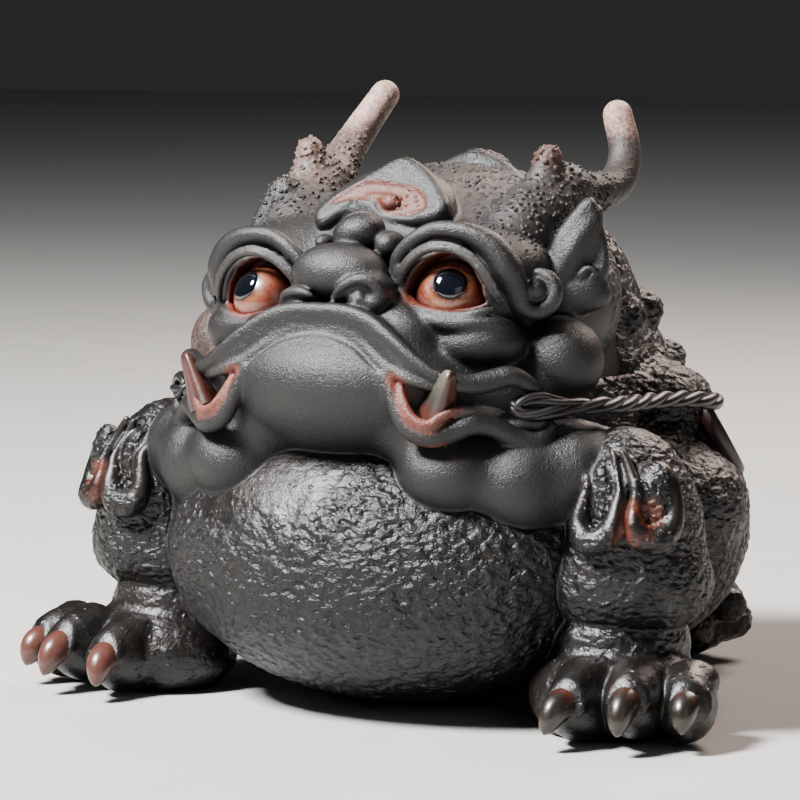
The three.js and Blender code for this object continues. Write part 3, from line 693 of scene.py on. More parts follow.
def foreleg():
    """Thick forearm with a double cloud curl on its front, and a foot of three knuckled toes."""
    pads = [Lump((44, 3, 35.4), (3.6, 3, 7)), Lump((51.4, 5.4, 35.6), (3.8, 3, 7), turn=32)]
    bulk = (0.6, 0.8, 1.0, 1.3, 1.9, 2.3, 2.3, 1.7, 1.2, 0.9, 0.5)
    far_bulk = (0.6, 0.8, 1.0, 1.2, 1.8, 2.2, 2.2, 1.8, 1.5, 1.2, 0.7)
    loops = [Roll(spline(LEFT_LOOP, 50), along_path(bulk, LEFT_LOOP, 50)),
             Roll(spline(RIGHT_LOOP, 50), along_path(far_bulk, RIGHT_LOOP, 50))]
    notch = Roll([(48.3, -2, 29.2), (48.4, -1.3, 33), (48.4, 0.2, 37), (46.2, 2.4, 42.6)],
                 [1.1, 0.7, 0.4, 0.3])
    knuckles = []
    for centre, aim, tip in TOES:
        top = np.array(centre) + (0.6 * math.sin(math.radians(aim)), 1.5, 3.4)
        knuckles.append(Lump(top, (4.4, 3.6, 3.2), turn=aim))
    folds = []
    for centre, aim, tip in TOES:
        way = np.array((math.sin(math.radians(aim)), -math.cos(math.radians(aim)), 0))
        side = np.array((way[1], -way[0], 0))
        root = nail_root(centre, aim) + way * 2.2
        rise = -1.8 * way + (0, 0, 3.1)
        arc = [root + side * 2.9 * math.cos(a) + rise * math.sin(a) - (0, 0, 0.4)
               for a in np.linspace(-0.4, math.pi + 0.4, 12)]
        folds.append(Roll(arc, rounded(0.75, 12, 0.4)))
    return [
        on([FOREARM, Lump((42.8, 12, 22.4), (14, 12.8, 9.6))], 3),
        on([Lump((42, 12, 12), (11, 11.4, 9))], 0.8),
        on([Lump((43.5, 8, 4.5), (14.2, 13, 9.2), turn=24)], 1.2),
        on([Lump(centre, (4.9, 7.6, 6.2), turn=aim) for centre, aim, tip in TOES], 0.8),
        on(knuckles, 0.8),
        on(folds, 1.0),
        on(pads, 1.2),
        on(loops, 0.5),
        cut([notch], 0.6),
    ]


def shelf_cut(block, field):
    """Soles and rump cut flat, where the clay stood on its shelf."""
    z = block.lines[2]
    return np.maximum(field, SOLE - z[None, None, :])


# Pieces of the model. Neighbouring pieces meet in the creases of the clay


RUN_IN = 0.35
OVERLAP = 2.5
DIVE = 0.12
HOLLOW_REACH = 1.6
EDGE_REACH = 1.2
SEAM_REACH = 1.2


def clay_piece(low, high, step, mine, others, limit=None):
    """One closed piece of the skin: where the forms of `mine` lie nearer than those of `others`.
    Past that the skin dives gently under its neighbour and is closed a little way in. `limit` is a
    function of x, y, z that is above zero outside the piece."""
    block = Block(low, high, step)
    own = block.model(mine)
    rest = np.full(block.count, FAR, np.float32)
    for group in others:
        rest = smooth_min(rest, block.model(group), RUN_IN)
    whole = shelf_cut(block, smooth_min(own, rest, RUN_IN))
    past = (own - rest) / 2
    if limit is not None:
        x, y, z = block.lines
        past = np.maximum(past, limit(x[:, None, None], y[None, :, None], z[None, None, :]))
    under = whole + DIVE * np.maximum(past, 0) ** 2
    points, faces = skin(block, np.maximum(under, past - OVERLAP))
    for _ in range(2):
        drift = block.at(under, points)
        drift[np.abs(drift) > step] = 0
        points -= block.slope(under, points) * drift[:, None]
    outward = block.slope(whole, points)
    depth = block.at(whole, points)
    # hollow: how deep each point lies in a crease; it is used to paint shade into the creases.
    hollow = np.clip(1 - (block.at(whole, points + outward * HOLLOW_REACH) - depth) / HOLLOW_REACH, 0, 1)
    # edge: how convex each point is; it is used for a pale dusting and wear on edges that is also a painted
    # highlight.
    edge = np.clip(1 + (block.at(whole, points - outward * EDGE_REACH) - depth) / EDGE_REACH, 0, 1)
    inland = np.clip(block.at(rest - own, points) / SEAM_REACH, 0, 1)
    return points, faces, {"hollow": hollow, "edge": edge, "inland": inland}


def thin(obj, limit):
    """Closes the skin's least needed edges until the piece is within its limit of triangles."""
    number = sum(len(p.vertices) - 2 for p in obj.data.polygons)
    if number <= limit:
        return
    modifier = obj.modifiers.new("thin", "DECIMATE")
    modifier.ratio = limit / number
    result = bpy.data.meshes.new_from_object(obj.evaluated_get(bpy.context.evaluated_depsgraph_get()))
    obj.modifiers.clear()
    obj.data = result


def smooth_step(low, high, values):
    t = np.clip((values - low) / (high - low), 0, 1)
    return t * t * (3 - 2 * t)


# Finishes


def linear(text):
    """Linear colour of an sRGB hex value."""
    channels = [int(text[i:i + 2], 16) / 255 for i in (1, 3, 5)]
    return tuple(c / 12.92 if c <= 0.04045 else ((c + 0.055) / 1.055) ** 2.4 for c in channels) + (1.0,)


def add(tree, kind, settings=None, links=None):
    """A node with its settings, and its inputs linked or set by name or number. A node stands for its
    first output."""
    node = tree.nodes.new(kind)
    for key, value in (settings or {}).items():
        setattr(node, key, value)
    for key, value in (links or {}).items():
        socket = node.inputs[key]
        if isinstance(value, bpy.types.Node):
            value = value.outputs[0]
        if isinstance(value, bpy.types.NodeSocket):
            tree.links.new(value, socket)
        else:
            socket.default_value = value
    return node


# Settings that many nodes share
TIMES = {"operation": "MULTIPLY"}
PLUS = {"operation": "ADD"}
MINUS = {"operation": "SUBTRACT"}
OVER = {"operation": "DIVIDE"}
TIMES_PLUS = {"operation": "MULTIPLY_ADD"}
LARGER = {"operation": "MAXIMUM"}
SCALED = {"operation": "SCALE"}
SQUARE_TO = {"operation": "CROSS_PRODUCT"}
EASED = {"interpolation_type": "SMOOTHSTEP"}
COLOURS = {"data_type": "RGBA"}


def object_millimetres(tree):
    """Each point's own place on the object, in millimetres."""
    place = add(tree, "ShaderNodeTexCoord")
    return add(tree, "ShaderNodeVectorMath", SCALED, {0: place.outputs["Object"], "Scale": PER_METRE})


def new_material(name):
    material = bpy.data.materials.new(name)
    material.use_nodes = True
    material.node_tree.nodes.clear()
    return material, material.node_tree


def set_by_name(modifier, values):
    """Gives a Geometry Nodes modifier its inputs before it is first worked out."""
    for item in modifier.node_group.interface.items_tree:
        if item.item_type == "SOCKET" and item.in_out == "INPUT" and item.name in values:
            modifier[item.identifier] = values[item.name]


def settle(obj, modifier):
    """Makes the modifier's result the object's own mesh."""
    result = bpy.data.meshes.new_from_object(obj.evaluated_get(bpy.context.evaluated_depsgraph_get()))
    obj.modifiers.remove(modifier)
    obj.data = result


def new_tree(name, inputs):
    """An empty Geometry Nodes tree with its inputs by name: a kind of socket and its first value."""
    tree = bpy.data.node_groups.new(name, "GeometryNodeTree")
    tree.interface.new_socket("Geometry", in_out="INPUT", socket_type="NodeSocketGeometry")
    for label, (kind, value) in inputs.items():
        socket = tree.interface.new_socket(label, in_out="INPUT", socket_type=kind)
        if value is not None:
            socket.default_value = value
    tree.interface.new_socket("Geometry", in_out="OUTPUT", socket_type="NodeSocketGeometry")
    return tree, add(tree, "NodeGroupInput")


CRUMPLE = 0.9
CRUMPLE_DEPTH = 0.27
PIT_SPACING = 1.1
PIT_DEPTH = 0.35


def tooling(tree, mm, leather, crumple, pit_spacing):
    """Adds the pattern of the tooled skin to a tree: how far the clay is creased, and how far pricked.
    mm is the place in millimetres, leather the mark that says how crumpled the clay is; crumple and
    pit_spacing are the marks' sizes in millimetres."""
    wander = add(tree, "ShaderNodeTexNoise", links={"Vector": mm, "Scale": 0.35, "Detail": 2.0})
    centred = add(tree, "ShaderNodeVectorMath", MINUS, {0: wander.outputs["Color"], 1: (0.5, 0.5, 0.5)})
    pushed = add(tree, "ShaderNodeVectorMath", SCALED, {0: centred, "Scale": 2.2})
    warped = add(tree, "ShaderNodeVectorMath", PLUS, {0: mm, 1: pushed})
    per = add(tree, "ShaderNodeMath", OVER, {0: 1.0, 1: crumple})
    scaled = add(tree, "ShaderNodeVectorMath", SCALED, {0: warped, "Scale": per})
    flat = add(tree, "ShaderNodeVectorMath", TIMES, {0: scaled, 1: (0.6, 0.6, 1.0)})
    pebbles = add(tree, "ShaderNodeTexVoronoi", {"feature": "F1"}, {"Vector": flat, "Scale": 0.85})
    valley = add(tree, "ShaderNodeMapRange", EASED,
                 {"Value": pebbles.outputs["Distance"], "From Min": 0.2, "From Max": 0.72,
                  "To Max": 0.75})
    ripple = add(tree, "ShaderNodeTexNoise",
                 links={"Vector": flat, "Scale": 0.8, "Detail": 3.0, "Roughness": 0.6})
    trough = add(tree, "ShaderNodeMapRange", EASED,
                 {"Value": ripple, "From Min": 0.38, "From Max": 0.62, "To Min": 0.75, "To Max": 0.0})
    crumpled = add(tree, "ShaderNodeMath", PLUS, {0: valley, 1: trough})
    gate = add(tree, "ShaderNodeTexNoise", links={"Vector": mm, "Scale": 0.22, "Detail": 2.0})
    mixed = add(tree, "ShaderNodeMath", PLUS, {0: gate, 1: leather})
    opened = add(tree, "ShaderNodeMapRange", EASED,
                 {"Value": mixed, "From Min": 0.95, "From Max": 1.4, "To Min": 0.1, "To Max": 1.0})
    opened_crumple = add(tree, "ShaderNodeMath", TIMES, {0: crumpled, 1: opened})
    long = add(tree, "ShaderNodeVectorMath", TIMES, {0: scaled, 1: (0.42, 0.42, 1.15)})
    slots = add(tree, "ShaderNodeTexVoronoi", {"feature": "F1"}, {"Vector": long, "Scale": 1.0})
    gouge = add(tree, "ShaderNodeMapRange", EASED,
                {"Value": slots.outputs["Distance"], "From Min": 0.08, "From Max": 0.3,
                 "To Min": 0.9, "To Max": 0.0})
    creased = add(tree, "ShaderNodeMath", LARGER, {0: gouge, 1: opened_crumple})

    each = add(tree, "ShaderNodeMath", OVER, {0: 1.0, 1: pit_spacing})
    little = add(tree, "ShaderNodeVectorMath", SCALED, {0: centred, "Scale": 1.0})
    shaken = add(tree, "ShaderNodeVectorMath", PLUS, {0: mm, 1: little})
    dots = add(tree, "ShaderNodeTexVoronoi", {"feature": "F1"}, {"Vector": shaken, "Scale": each,
                                                                 "Randomness": 0.8})
    prick = add(tree, "ShaderNodeMapRange", EASED,
                {"Value": dots.outputs["Distance"], "From Min": 0.18, "From Max": 0.4,
                 "To Min": 1.0, "To Max": 0.0})
    return creased, prick


def relief_tree():
    """Tooling of the skin: crumpled where the mark "leather" is, and pricked pits where "pits" is.
    The mark "laid" keeps each point's place before the tooling. Lengths are in millimetres."""
    tree, given = new_tree("tooled_skin", {
        "Crumple": ("NodeSocketFloat", CRUMPLE), "Crumple depth": ("NodeSocketFloat", CRUMPLE_DEPTH),
        "Pit spacing": ("NodeSocketFloat", PIT_SPACING), "Pit depth": ("NodeSocketFloat", PIT_DEPTH),
        "Finish": ("NodeSocketMaterial", None),
    })
    place = add(tree, "GeometryNodeInputPosition")
    mm = add(tree, "ShaderNodeVectorMath", SCALED, {0: place, "Scale": PER_METRE})
    leather = add(tree, "GeometryNodeInputNamedAttribute", {"data_type": "FLOAT"}, {"Name": "leather"})
    pits = add(tree, "GeometryNodeInputNamedAttribute", {"data_type": "FLOAT"}, {"Name": "pits"})
    creased, prick = tooling(tree, mm, leather, given.outputs["Crumple"], given.outputs["Pit spacing"])
    swell = add(tree, "ShaderNodeTexNoise", links={"Vector": mm, "Scale": 0.16, "Detail": 2.0})
    swelling = add(tree, "ShaderNodeMapRange", links={"Value": swell, "From Min": 0.3, "From Max": 0.7,
                                                      "To Min": -0.6, "To Max": 0.8})
    raised = add(tree, "ShaderNodeMath", MINUS, {0: swelling, 1: creased})
    deep = add(tree, "ShaderNodeMath", TIMES, {0: given.outputs["Crumple depth"], 1: leather})
    skin_height = add(tree, "ShaderNodeMath", TIMES, {0: raised, 1: deep})
    pricked = add(tree, "ShaderNodeMath", TIMES, {0: prick, 1: pits})
    pit_height = add(tree, "ShaderNodeMath", TIMES, {0: pricked, 1: given.outputs["Pit depth"]})
    height = add(tree, "ShaderNodeMath", MINUS, {0: skin_height, 1: pit_height})
    normal = add(tree, "GeometryNodeInputNormal")
    metres = add(tree, "ShaderNodeMath", TIMES, {0: height, 1: MM})
    offset = add(tree, "ShaderNodeVectorMath", SCALED, {0: normal, "Scale": metres})
    kept = add(tree, "GeometryNodeStoreNamedAttribute", {"data_type": "FLOAT_VECTOR", "domain": "POINT"},
               {"Geometry": given.outputs["Geometry"], "Name": "laid", "Value": mm})
    moved = add(tree, "GeometryNodeSetPosition", links={"Geometry": kept, "Offset": offset})
    real = add(tree, "GeometryNodeRealizeInstances", links={0: moved})
    finished = add(tree, "GeometryNodeSetMaterial",
                   links={"Geometry": real, "Material": given.outputs["Finish"]})
    add(tree, "NodeGroupOutput", links={0: finished})
    return tree


def smoked_clay(name, base, warm, dust_and_highlight, roughness, grain, glaze=0.1, shine=0.5, tooled=True):
    """Smoke-fired clay: a smoke-blackened ground with warm patches, a dusting and wear on convex edges that
    also carries a painted highlight, painted shade that darkens creases, tool marks, pits and seams to near
    black, rubbed terracotta, dark red stain in the sockets and a pale bloom. grain is the height of its fine
    grain in mm, glaze how far a thin hard glaze covers it, shine how strongly the bare clay reflects."""
    material, tree = new_material(name)
    if tooled:
        place = add(tree, "ShaderNodeAttribute", {"attribute_name": "laid"})
        mm = add(tree, "ShaderNodeVectorMath", SCALED, {0: place.outputs["Vector"], "Scale": 1.0})
    else:
        mm = object_millimetres(tree)
    cloud = add(tree, "ShaderNodeTexNoise",
                links={"Vector": mm, "Scale": 0.09, "Detail": 5.0, "Roughness": 0.6})
    fine = add(tree, "ShaderNodeTexNoise",
               links={"Vector": mm, "Scale": 1.3, "Detail": 4.0, "Roughness": 0.7})
    tooth = add(tree, "ShaderNodeTexNoise", links={"Vector": mm, "Scale": 4.5, "Detail": 2.0})
    marks = {mark: add(tree, "ShaderNodeAttribute", {"attribute_name": mark}).outputs["Fac"]
             for mark in ("hollow", "edge", "leather", "pits", "rub", "stain", "bloom")}
    creased, prick = tooling(tree, mm, marks["leather"], CRUMPLE, PIT_SPACING)
    creases = add(tree, "ShaderNodeMath", TIMES, {0: creased, 1: marks["leather"]})
    pricks = add(tree, "ShaderNodeMath", TIMES, {0: prick, 1: marks["pits"]})
    sunk = add(tree, "ShaderNodeMath", LARGER, {0: creases, 1: pricks})
    patch = add(tree, "ShaderNodeMapRange", EASED,
                {"Value": cloud, "From Min": 0.42, "From Max": 0.66})
    ground = add(tree, "ShaderNodeMix", COLOURS, {0: patch, 6: linear(base), 7: linear(warm)})
    # Painted highlight and wear: convex edges are lightened towards a pale grey, partly a dusting and wear on
    # the edges and partly a painted highlight.
    wear_and_highlight = add(tree, "ShaderNodeMath", TIMES, {0: marks["edge"], 1: fine})
    wear_and_highlight_share = add(tree, "ShaderNodeMapRange", EASED,
                     {"Value": wear_and_highlight, "From Min": 0.08, "From Max": 0.5, "To Max": 0.7})
    dusted_and_highlit = add(tree, "ShaderNodeMix", COLOURS,
                {0: wear_and_highlight_share, 6: ground.outputs[2], 7: linear(dust_and_highlight)})
    # Painted shade: creases, tooled creases, pricked pits and the seams between pieces are darkened towards
    # near black (#050404), standing in for the shade that falls in them.
    low = add(tree, "ShaderNodeMath", LARGER, {0: marks["hollow"], 1: sunk})
    painted_shade_share = add(tree, "ShaderNodeMapRange", EASED,
                    {"Value": low, "From Min": 0.14, "From Max": 0.7, "To Max": 0.92})
    painted_shade = add(tree, "ShaderNodeMix", COLOURS,
                {0: painted_shade_share, 6: dusted_and_highlit.outputs[2], 7: linear("#050404")})
    terracotta = add(tree, "ShaderNodeMix", COLOURS,
                     {0: fine, 6: linear("#43180f"), 7: linear("#85452f")})
    broken = add(tree, "ShaderNodeMath", TIMES_PLUS, {0: fine, 1: 0.6, 2: -0.3})
    rubbed = add(tree, "ShaderNodeMath", PLUS, {0: marks["rub"], 1: broken})
    rub_share = add(tree, "ShaderNodeMapRange", EASED,
                    {"Value": rubbed, "From Min": 0.2, "From Max": 1.05, "To Max": 0.9})
    warmed = add(tree, "ShaderNodeMix", COLOURS,
                 {0: rub_share, 6: painted_shade.outputs[2], 7: terracotta.outputs[2]})
    stained = add(tree, "ShaderNodeMix", COLOURS,
                  {0: marks["stain"], 6: warmed.outputs[2], 7: linear("#5a1a10")})
    bloom_share = add(tree, "ShaderNodeMath", TIMES, {0: marks["bloom"], 1: fine})
    bloom_soft = add(tree, "ShaderNodeMapRange", EASED,
                     {"Value": bloom_share, "From Min": 0.1, "From Max": 0.5, "To Max": 0.9})
    bloomed = add(tree, "ShaderNodeMix", COLOURS,
                  {0: bloom_soft, 6: stained.outputs[2], 7: linear("#b39186")})
    smear = add(tree, "ShaderNodeMath", TIMES_PLUS, {0: cloud, 1: 0.22, 2: roughness - 0.11})
    rough = add(tree, "ShaderNodeMath", TIMES_PLUS, {0: painted_shade_share, 1: 0.12, 2: smear})
    grains = add(tree, "ShaderNodeMath", PLUS, {0: fine, 1: tooth})
    grain_height = add(tree, "ShaderNodeMath", TIMES, {0: grains, 1: grain})
    grit = add(tree, "ShaderNodeTexNoise", links={"Vector": mm, "Scale": 1.9, "Detail": 3.0})
    gritty = add(tree, "ShaderNodeMath", TIMES, {0: grit, 1: marks["leather"]})
    roughened = add(tree, "ShaderNodeMath", TIMES_PLUS, {0: gritty, 1: 0.16, 2: grain_height})
    height = add(tree, "ShaderNodeMath", TIMES_PLUS,
                 {0: sunk, 1: -0.2, 2: roughened})
    bump = add(tree, "ShaderNodeBump", links={"Strength": 1.0, "Distance": MM, "Height": height})
    shader = add(tree, "ShaderNodeBsdfPrincipled", links={
        "Base Color": bloomed.outputs[2], "Roughness": rough, "Normal": bump,
        "Specular IOR Level": shine, "Coat Weight": glaze, "Coat Roughness": 0.25, "Coat Normal": bump})
    add(tree, "ShaderNodeOutputMaterial", links={"Surface": shader})
    return material


def eye_glaze():
    """Glazed eyeball: orange round the pupil, streaked, going to dark red-brown under the lids."""
    material, tree = new_material("glazed_eyeball")
    mm = object_millimetres(tree)
    mottle = add(tree, "ShaderNodeTexNoise",
                 links={"Vector": mm, "Scale": 1.1, "Detail": 4.0, "Distortion": 0.8})
    angle = add(tree, "ShaderNodeAttribute", {"attribute_name": "angle"})
    shaken = add(tree, "ShaderNodeMath", TIMES_PLUS, {0: mottle, 1: 0.3, 2: -0.15})
    around = add(tree, "ShaderNodeMath", PLUS, {0: angle.outputs["Fac"], 1: shaken})
    ramp = add(tree, "ShaderNodeValToRGB", links={0: around})
    stops = ramp.color_ramp.elements
    for position, colour in ((0.3, "#3a150c"), (0.42, "#7d4c36"), (0.58, "#5a291b"), (0.8, "#2e0e08")):
        stop = stops.new(position)
        stop.color = linear(colour)
    stops.remove(stops[0])
    stops[-1].color = linear("#240a08")
    shader = add(tree, "ShaderNodeBsdfPrincipled", links={
        "Base Color": ramp, "Roughness": 0.3, "Coat Weight": 0.9, "Coat Roughness": 0.06})
    add(tree, "ShaderNodeOutputMaterial", links={"Surface": shader})
    return material


def black_glaze():
    """Pupils: thick black glaze with a blue-grey depth and a hard gloss."""
    material, tree = new_material("black_glaze")
    mm = object_millimetres(tree)
    depth = add(tree, "ShaderNodeTexNoise", links={"Vector": mm, "Scale": 0.5, "Detail": 3.0})
    colour = add(tree, "ShaderNodeMix", COLOURS, {0: depth, 6: linear("#040406"), 7: linear("#0b0f16")})
    shader = add(tree, "ShaderNodeBsdfPrincipled", links={
        "Base Color": colour.outputs[2], "Roughness": 0.07, "Coat Weight": 1.0, "Coat Roughness": 0.02})
    add(tree, "ShaderNodeOutputMaterial", links={"Surface": shader})
    return material


def nail_glaze(name, root, middle, tip, pale_root, pale_tip, roughness):
    """Glazed horn of nails and tusks: a rubbed warm root, a dark middle, streaks along it, and the paler
    ones of the figure's right side."""
    material, tree = new_material(name)
    mm = object_millimetres(tree)
    streak = add(tree, "ShaderNodeTexNoise",
                 links={"Vector": mm, "Scale": 0.7, "Detail": 4.0, "Distortion": 1.2})
    along = add(tree, "ShaderNodeAttribute", {"attribute_name": "along"})
    pale = add(tree, "ShaderNodeAttribute", {"attribute_name": "pale"})
    wander = add(tree, "ShaderNodeMath", TIMES_PLUS, {0: streak, 1: 0.5, 2: -0.25})
    share = add(tree, "ShaderNodeMath", PLUS, {0: along.outputs["Fac"], 1: wander})
    first = add(tree, "ShaderNodeMapRange", EASED,
                {"Value": share, "From Min": 0.05, "From Max": 0.5})
    last = add(tree, "ShaderNodeMapRange", EASED,
               {"Value": share, "From Min": 0.55, "From Max": 0.95})
    dark = add(tree, "ShaderNodeMix", COLOURS, {0: first, 6: linear(root), 7: linear(middle)})
    tipped = add(tree, "ShaderNodeMix", COLOURS, {0: last, 6: dark.outputs[2], 7: linear(tip)})
    light = add(tree, "ShaderNodeMix", COLOURS, {0: first, 6: linear(pale_root), 7: linear(pale_tip)})
    colour = add(tree, "ShaderNodeMix", COLOURS,
                 {0: pale.outputs["Fac"], 6: tipped.outputs[2], 7: light.outputs[2]})
    rough = add(tree, "ShaderNodeMath", TIMES_PLUS, {0: streak, 1: 0.2, 2: roughness - 0.1})
    bump = add(tree, "ShaderNodeBump", links={"Strength": 1.0, "Distance": 0.05 * MM, "Height": streak})
    shader = add(tree, "ShaderNodeBsdfPrincipled", links={
        "Base Color": colour.outputs[2], "Roughness": rough, "Normal": bump, "Coat Weight": 0.3,
        "Coat Roughness": 0.15})
    add(tree, "ShaderNodeOutputMaterial", links={"Surface": shader})
    return material


def studio_sweep():
    """Pale matt board the figure stands on, very lightly mottled."""
    material, tree = new_material("studio_board")
    place = add(tree, "ShaderNodeTexCoord")
    mottle = add(tree, "ShaderNodeTexNoise",
                 links={"Vector": place.outputs["Object"], "Scale": 60.0, "Detail": 4.0})
    colour = add(tree, "ShaderNodeMix", COLOURS, {0: mottle, 6: linear("#a3a29f"), 7: linear("#adaca9")})
    shader = add(tree, "ShaderNodeBsdfPrincipled",
                 links={"Base Color": colour.outputs[2], "Roughness": 0.8})
    add(tree, "ShaderNodeOutputMaterial", links={"Surface": shader})
    return material


def tube(path, radii, sides=24, squash=1.0, facets=0.0, up=(0, 0, 1)):
    """A closed tube along a path, as (points, faces). squash flattens it towards up; facets pinches it
    to three corners."""
    path = np.array(path, float)
    along = np.gradient(path, axis=0)
    along /= np.linalg.norm(along, axis=1, keepdims=True)
    side = np.cross(along, up)
    side /= np.maximum(np.linalg.norm(side, axis=1, keepdims=True), 1e-6)
    over = np.cross(side, along)
    angle = np.linspace(0, 2 * math.pi, sides, endpoint=False)
    shape = 1 + facets * np.cos(3 * angle)
    rings = (
        path[:, None]
        + side[:, None] * (np.cos(angle) * shape)[None, :, None] * np.array(radii)[:, None, None]
        + over[:, None] * (np.sin(angle) * shape * squash)[None, :, None] * np.array(radii)[:, None, None]
    )
    count = len(path)
    points = np.vstack([rings.reshape(-1, 3), path[:1], path[-1:]])
    faces = []
    for i in range(count - 1):
        for j in range(sides):
            k = (j + 1) % sides
            faces.append((i * sides + j, i * sides + k, (i + 1) * sides + k, (i + 1) * sides + j))
    last = (count - 1) * sides
    for j in range(sides):
        k = (j + 1) % sides
        faces.append((count * sides, k, j))
        faces.append((count * sides + 1, last + j, last + k))
    return points, faces


def object_of(name, solids, material):
    """One object from several closed solids given as (points, faces) or (points, faces, marks), with its
    normals outwards."""
    build = bmesh.new()
    marks = {}
    for points, faces, *given in solids:
        corners = [build.verts.new(Vector((np.array(p) + SETTING_OUT) * MM)) for p in points]
        for face in faces:
            build.faces.new([corners[i] for i in face])
        for mark, values in (given[0] if given else {}).items():
            marks.setdefault(mark, []).extend(np.broadcast_to(values, (len(points),)))
    bmesh.ops.recalc_face_normals(build, faces=build.faces)
    mesh = bpy.data.meshes.new(name)
    build.to_mesh(mesh)
    build.free()
    for polygon in mesh.polygons:
        polygon.use_smooth = True
    for mark, values in marks.items():
        layer = mesh.attributes.new(mark, "FLOAT", "POINT")
        layer.data.foreach_set("value", np.array(values, np.float32))
    obj = bpy.data.objects.new(name, mesh)
    bpy.context.collection.objects.link(obj)
    mesh.materials.append(material)
    return obj


def run_along(count, sides):
    """How far along a tube each of its points is, 0 to 1."""
    return np.concatenate([np.repeat(np.linspace(0, 1, count), sides), (0, 1)])


CLAW_WIDTH = 5.3
TUSK_WIDTH = 6.1
TUBE_SIDES = 24
TUSK_STEPS = 24
CLAW_STEPS = 18


def claws():
    """Stubby nails that leave the toes and hook down to their points."""
    solids = []
    for side in (1, -1):
        for centre, aim, tip in TOES:
            root = nail_root(centre, aim)
            middle = (root + tip) / 2 + (0, -0.7, 1.3)
            path = spline([root, middle, tip], CLAW_STEPS) * (side, 1, 1)
            t = np.linspace(0, 1, CLAW_STEPS)
            radii = CLAW_WIDTH / 2 * (1 - 0.52 * t ** 2) * np.sqrt(np.maximum(0.004, 1 - t ** 6))
            points, faces = tube(path, radii, TUBE_SIDES, 1.05)
            pale = 1.0 if side < 0 else 0.0
            solids.append((points, faces, {"along": run_along(CLAW_STEPS, TUBE_SIDES), "pale": pale}))
    return solids


def tusks():
    """Blunt three-sided tusks that stand up out of the lower lip at the corners of the mouth; the left
    one is warm on its right face only."""
    solids = []
    for width, root, tip, pale in ((TUSK_WIDTH, (19.7, -9.4, 48.4), (24.2, -12.4, 57), 0.0),
                                   (0.85 * TUSK_WIDTH, (-21.8, -10.6, 48.6), (-25.9, -10.4, 57.4), 1.0)):
        path = np.linspace(root, tip, TUSK_STEPS)
        t = np.linspace(0, 1, TUSK_STEPS)
        radii = width / 2 * (1 - 0.68 * t) * np.sqrt(np.maximum(0.004, 1 - t ** 16))
        points, faces = tube(path, radii, TUBE_SIDES, 1.0, -0.17, (0, -1, 0.2))
        angle = np.linspace(0, 2 * math.pi, TUBE_SIDES, endpoint=False)
        right_face = np.clip(4 * (np.cos(angle) - 0.35) + pale * 8, 0, 1)
        around = np.concatenate([np.tile(right_face, TUSK_STEPS), (pale, pale)])
        solids.append((points, faces, {"along": run_along(TUSK_STEPS, TUBE_SIDES), "pale": around}))
    return solids


ROPE_HALF = [(36.4, 4.2, 50.3), (39.2, 9.4, 50.2), (40.2, 17, 49.8), (40.2, 27, 49.4),
             (41.4, 37, 48.8), (42.2, 46, 47.6), (38, 54.8, 46.6), (31.2, 64, 45.2), (22.2, 73, 44),
             (11.6, 79.8, 43.2), (0, 82, 42.8)]
ROPE_WIDTH = 2.8
ROPE_LAY = 16
ROPE_POINTS = 421
STRANDS = 3
LOOP_WIDTH = 2.1
LOOP_TURNS = 1.0
LOOP_POINTS = 140
LOOP = [(37.4, 5.6, 50.6), (35.2, 2, 51.3), (33.7, 0.2, 51.9), (32, -1.6, 51.9), (30.7, -3, 50.9),
        (31.4, -2.7, 49.9), (33.3, -1.1, 49.6), (35.3, 1.3, 49.9), (37.2, 5, 50.1)]


def rope_route():
    return spline([(-x, y, z) for x, y, z in ROPE_HALF] + ROPE_HALF[-2::-1], ROPE_POINTS)


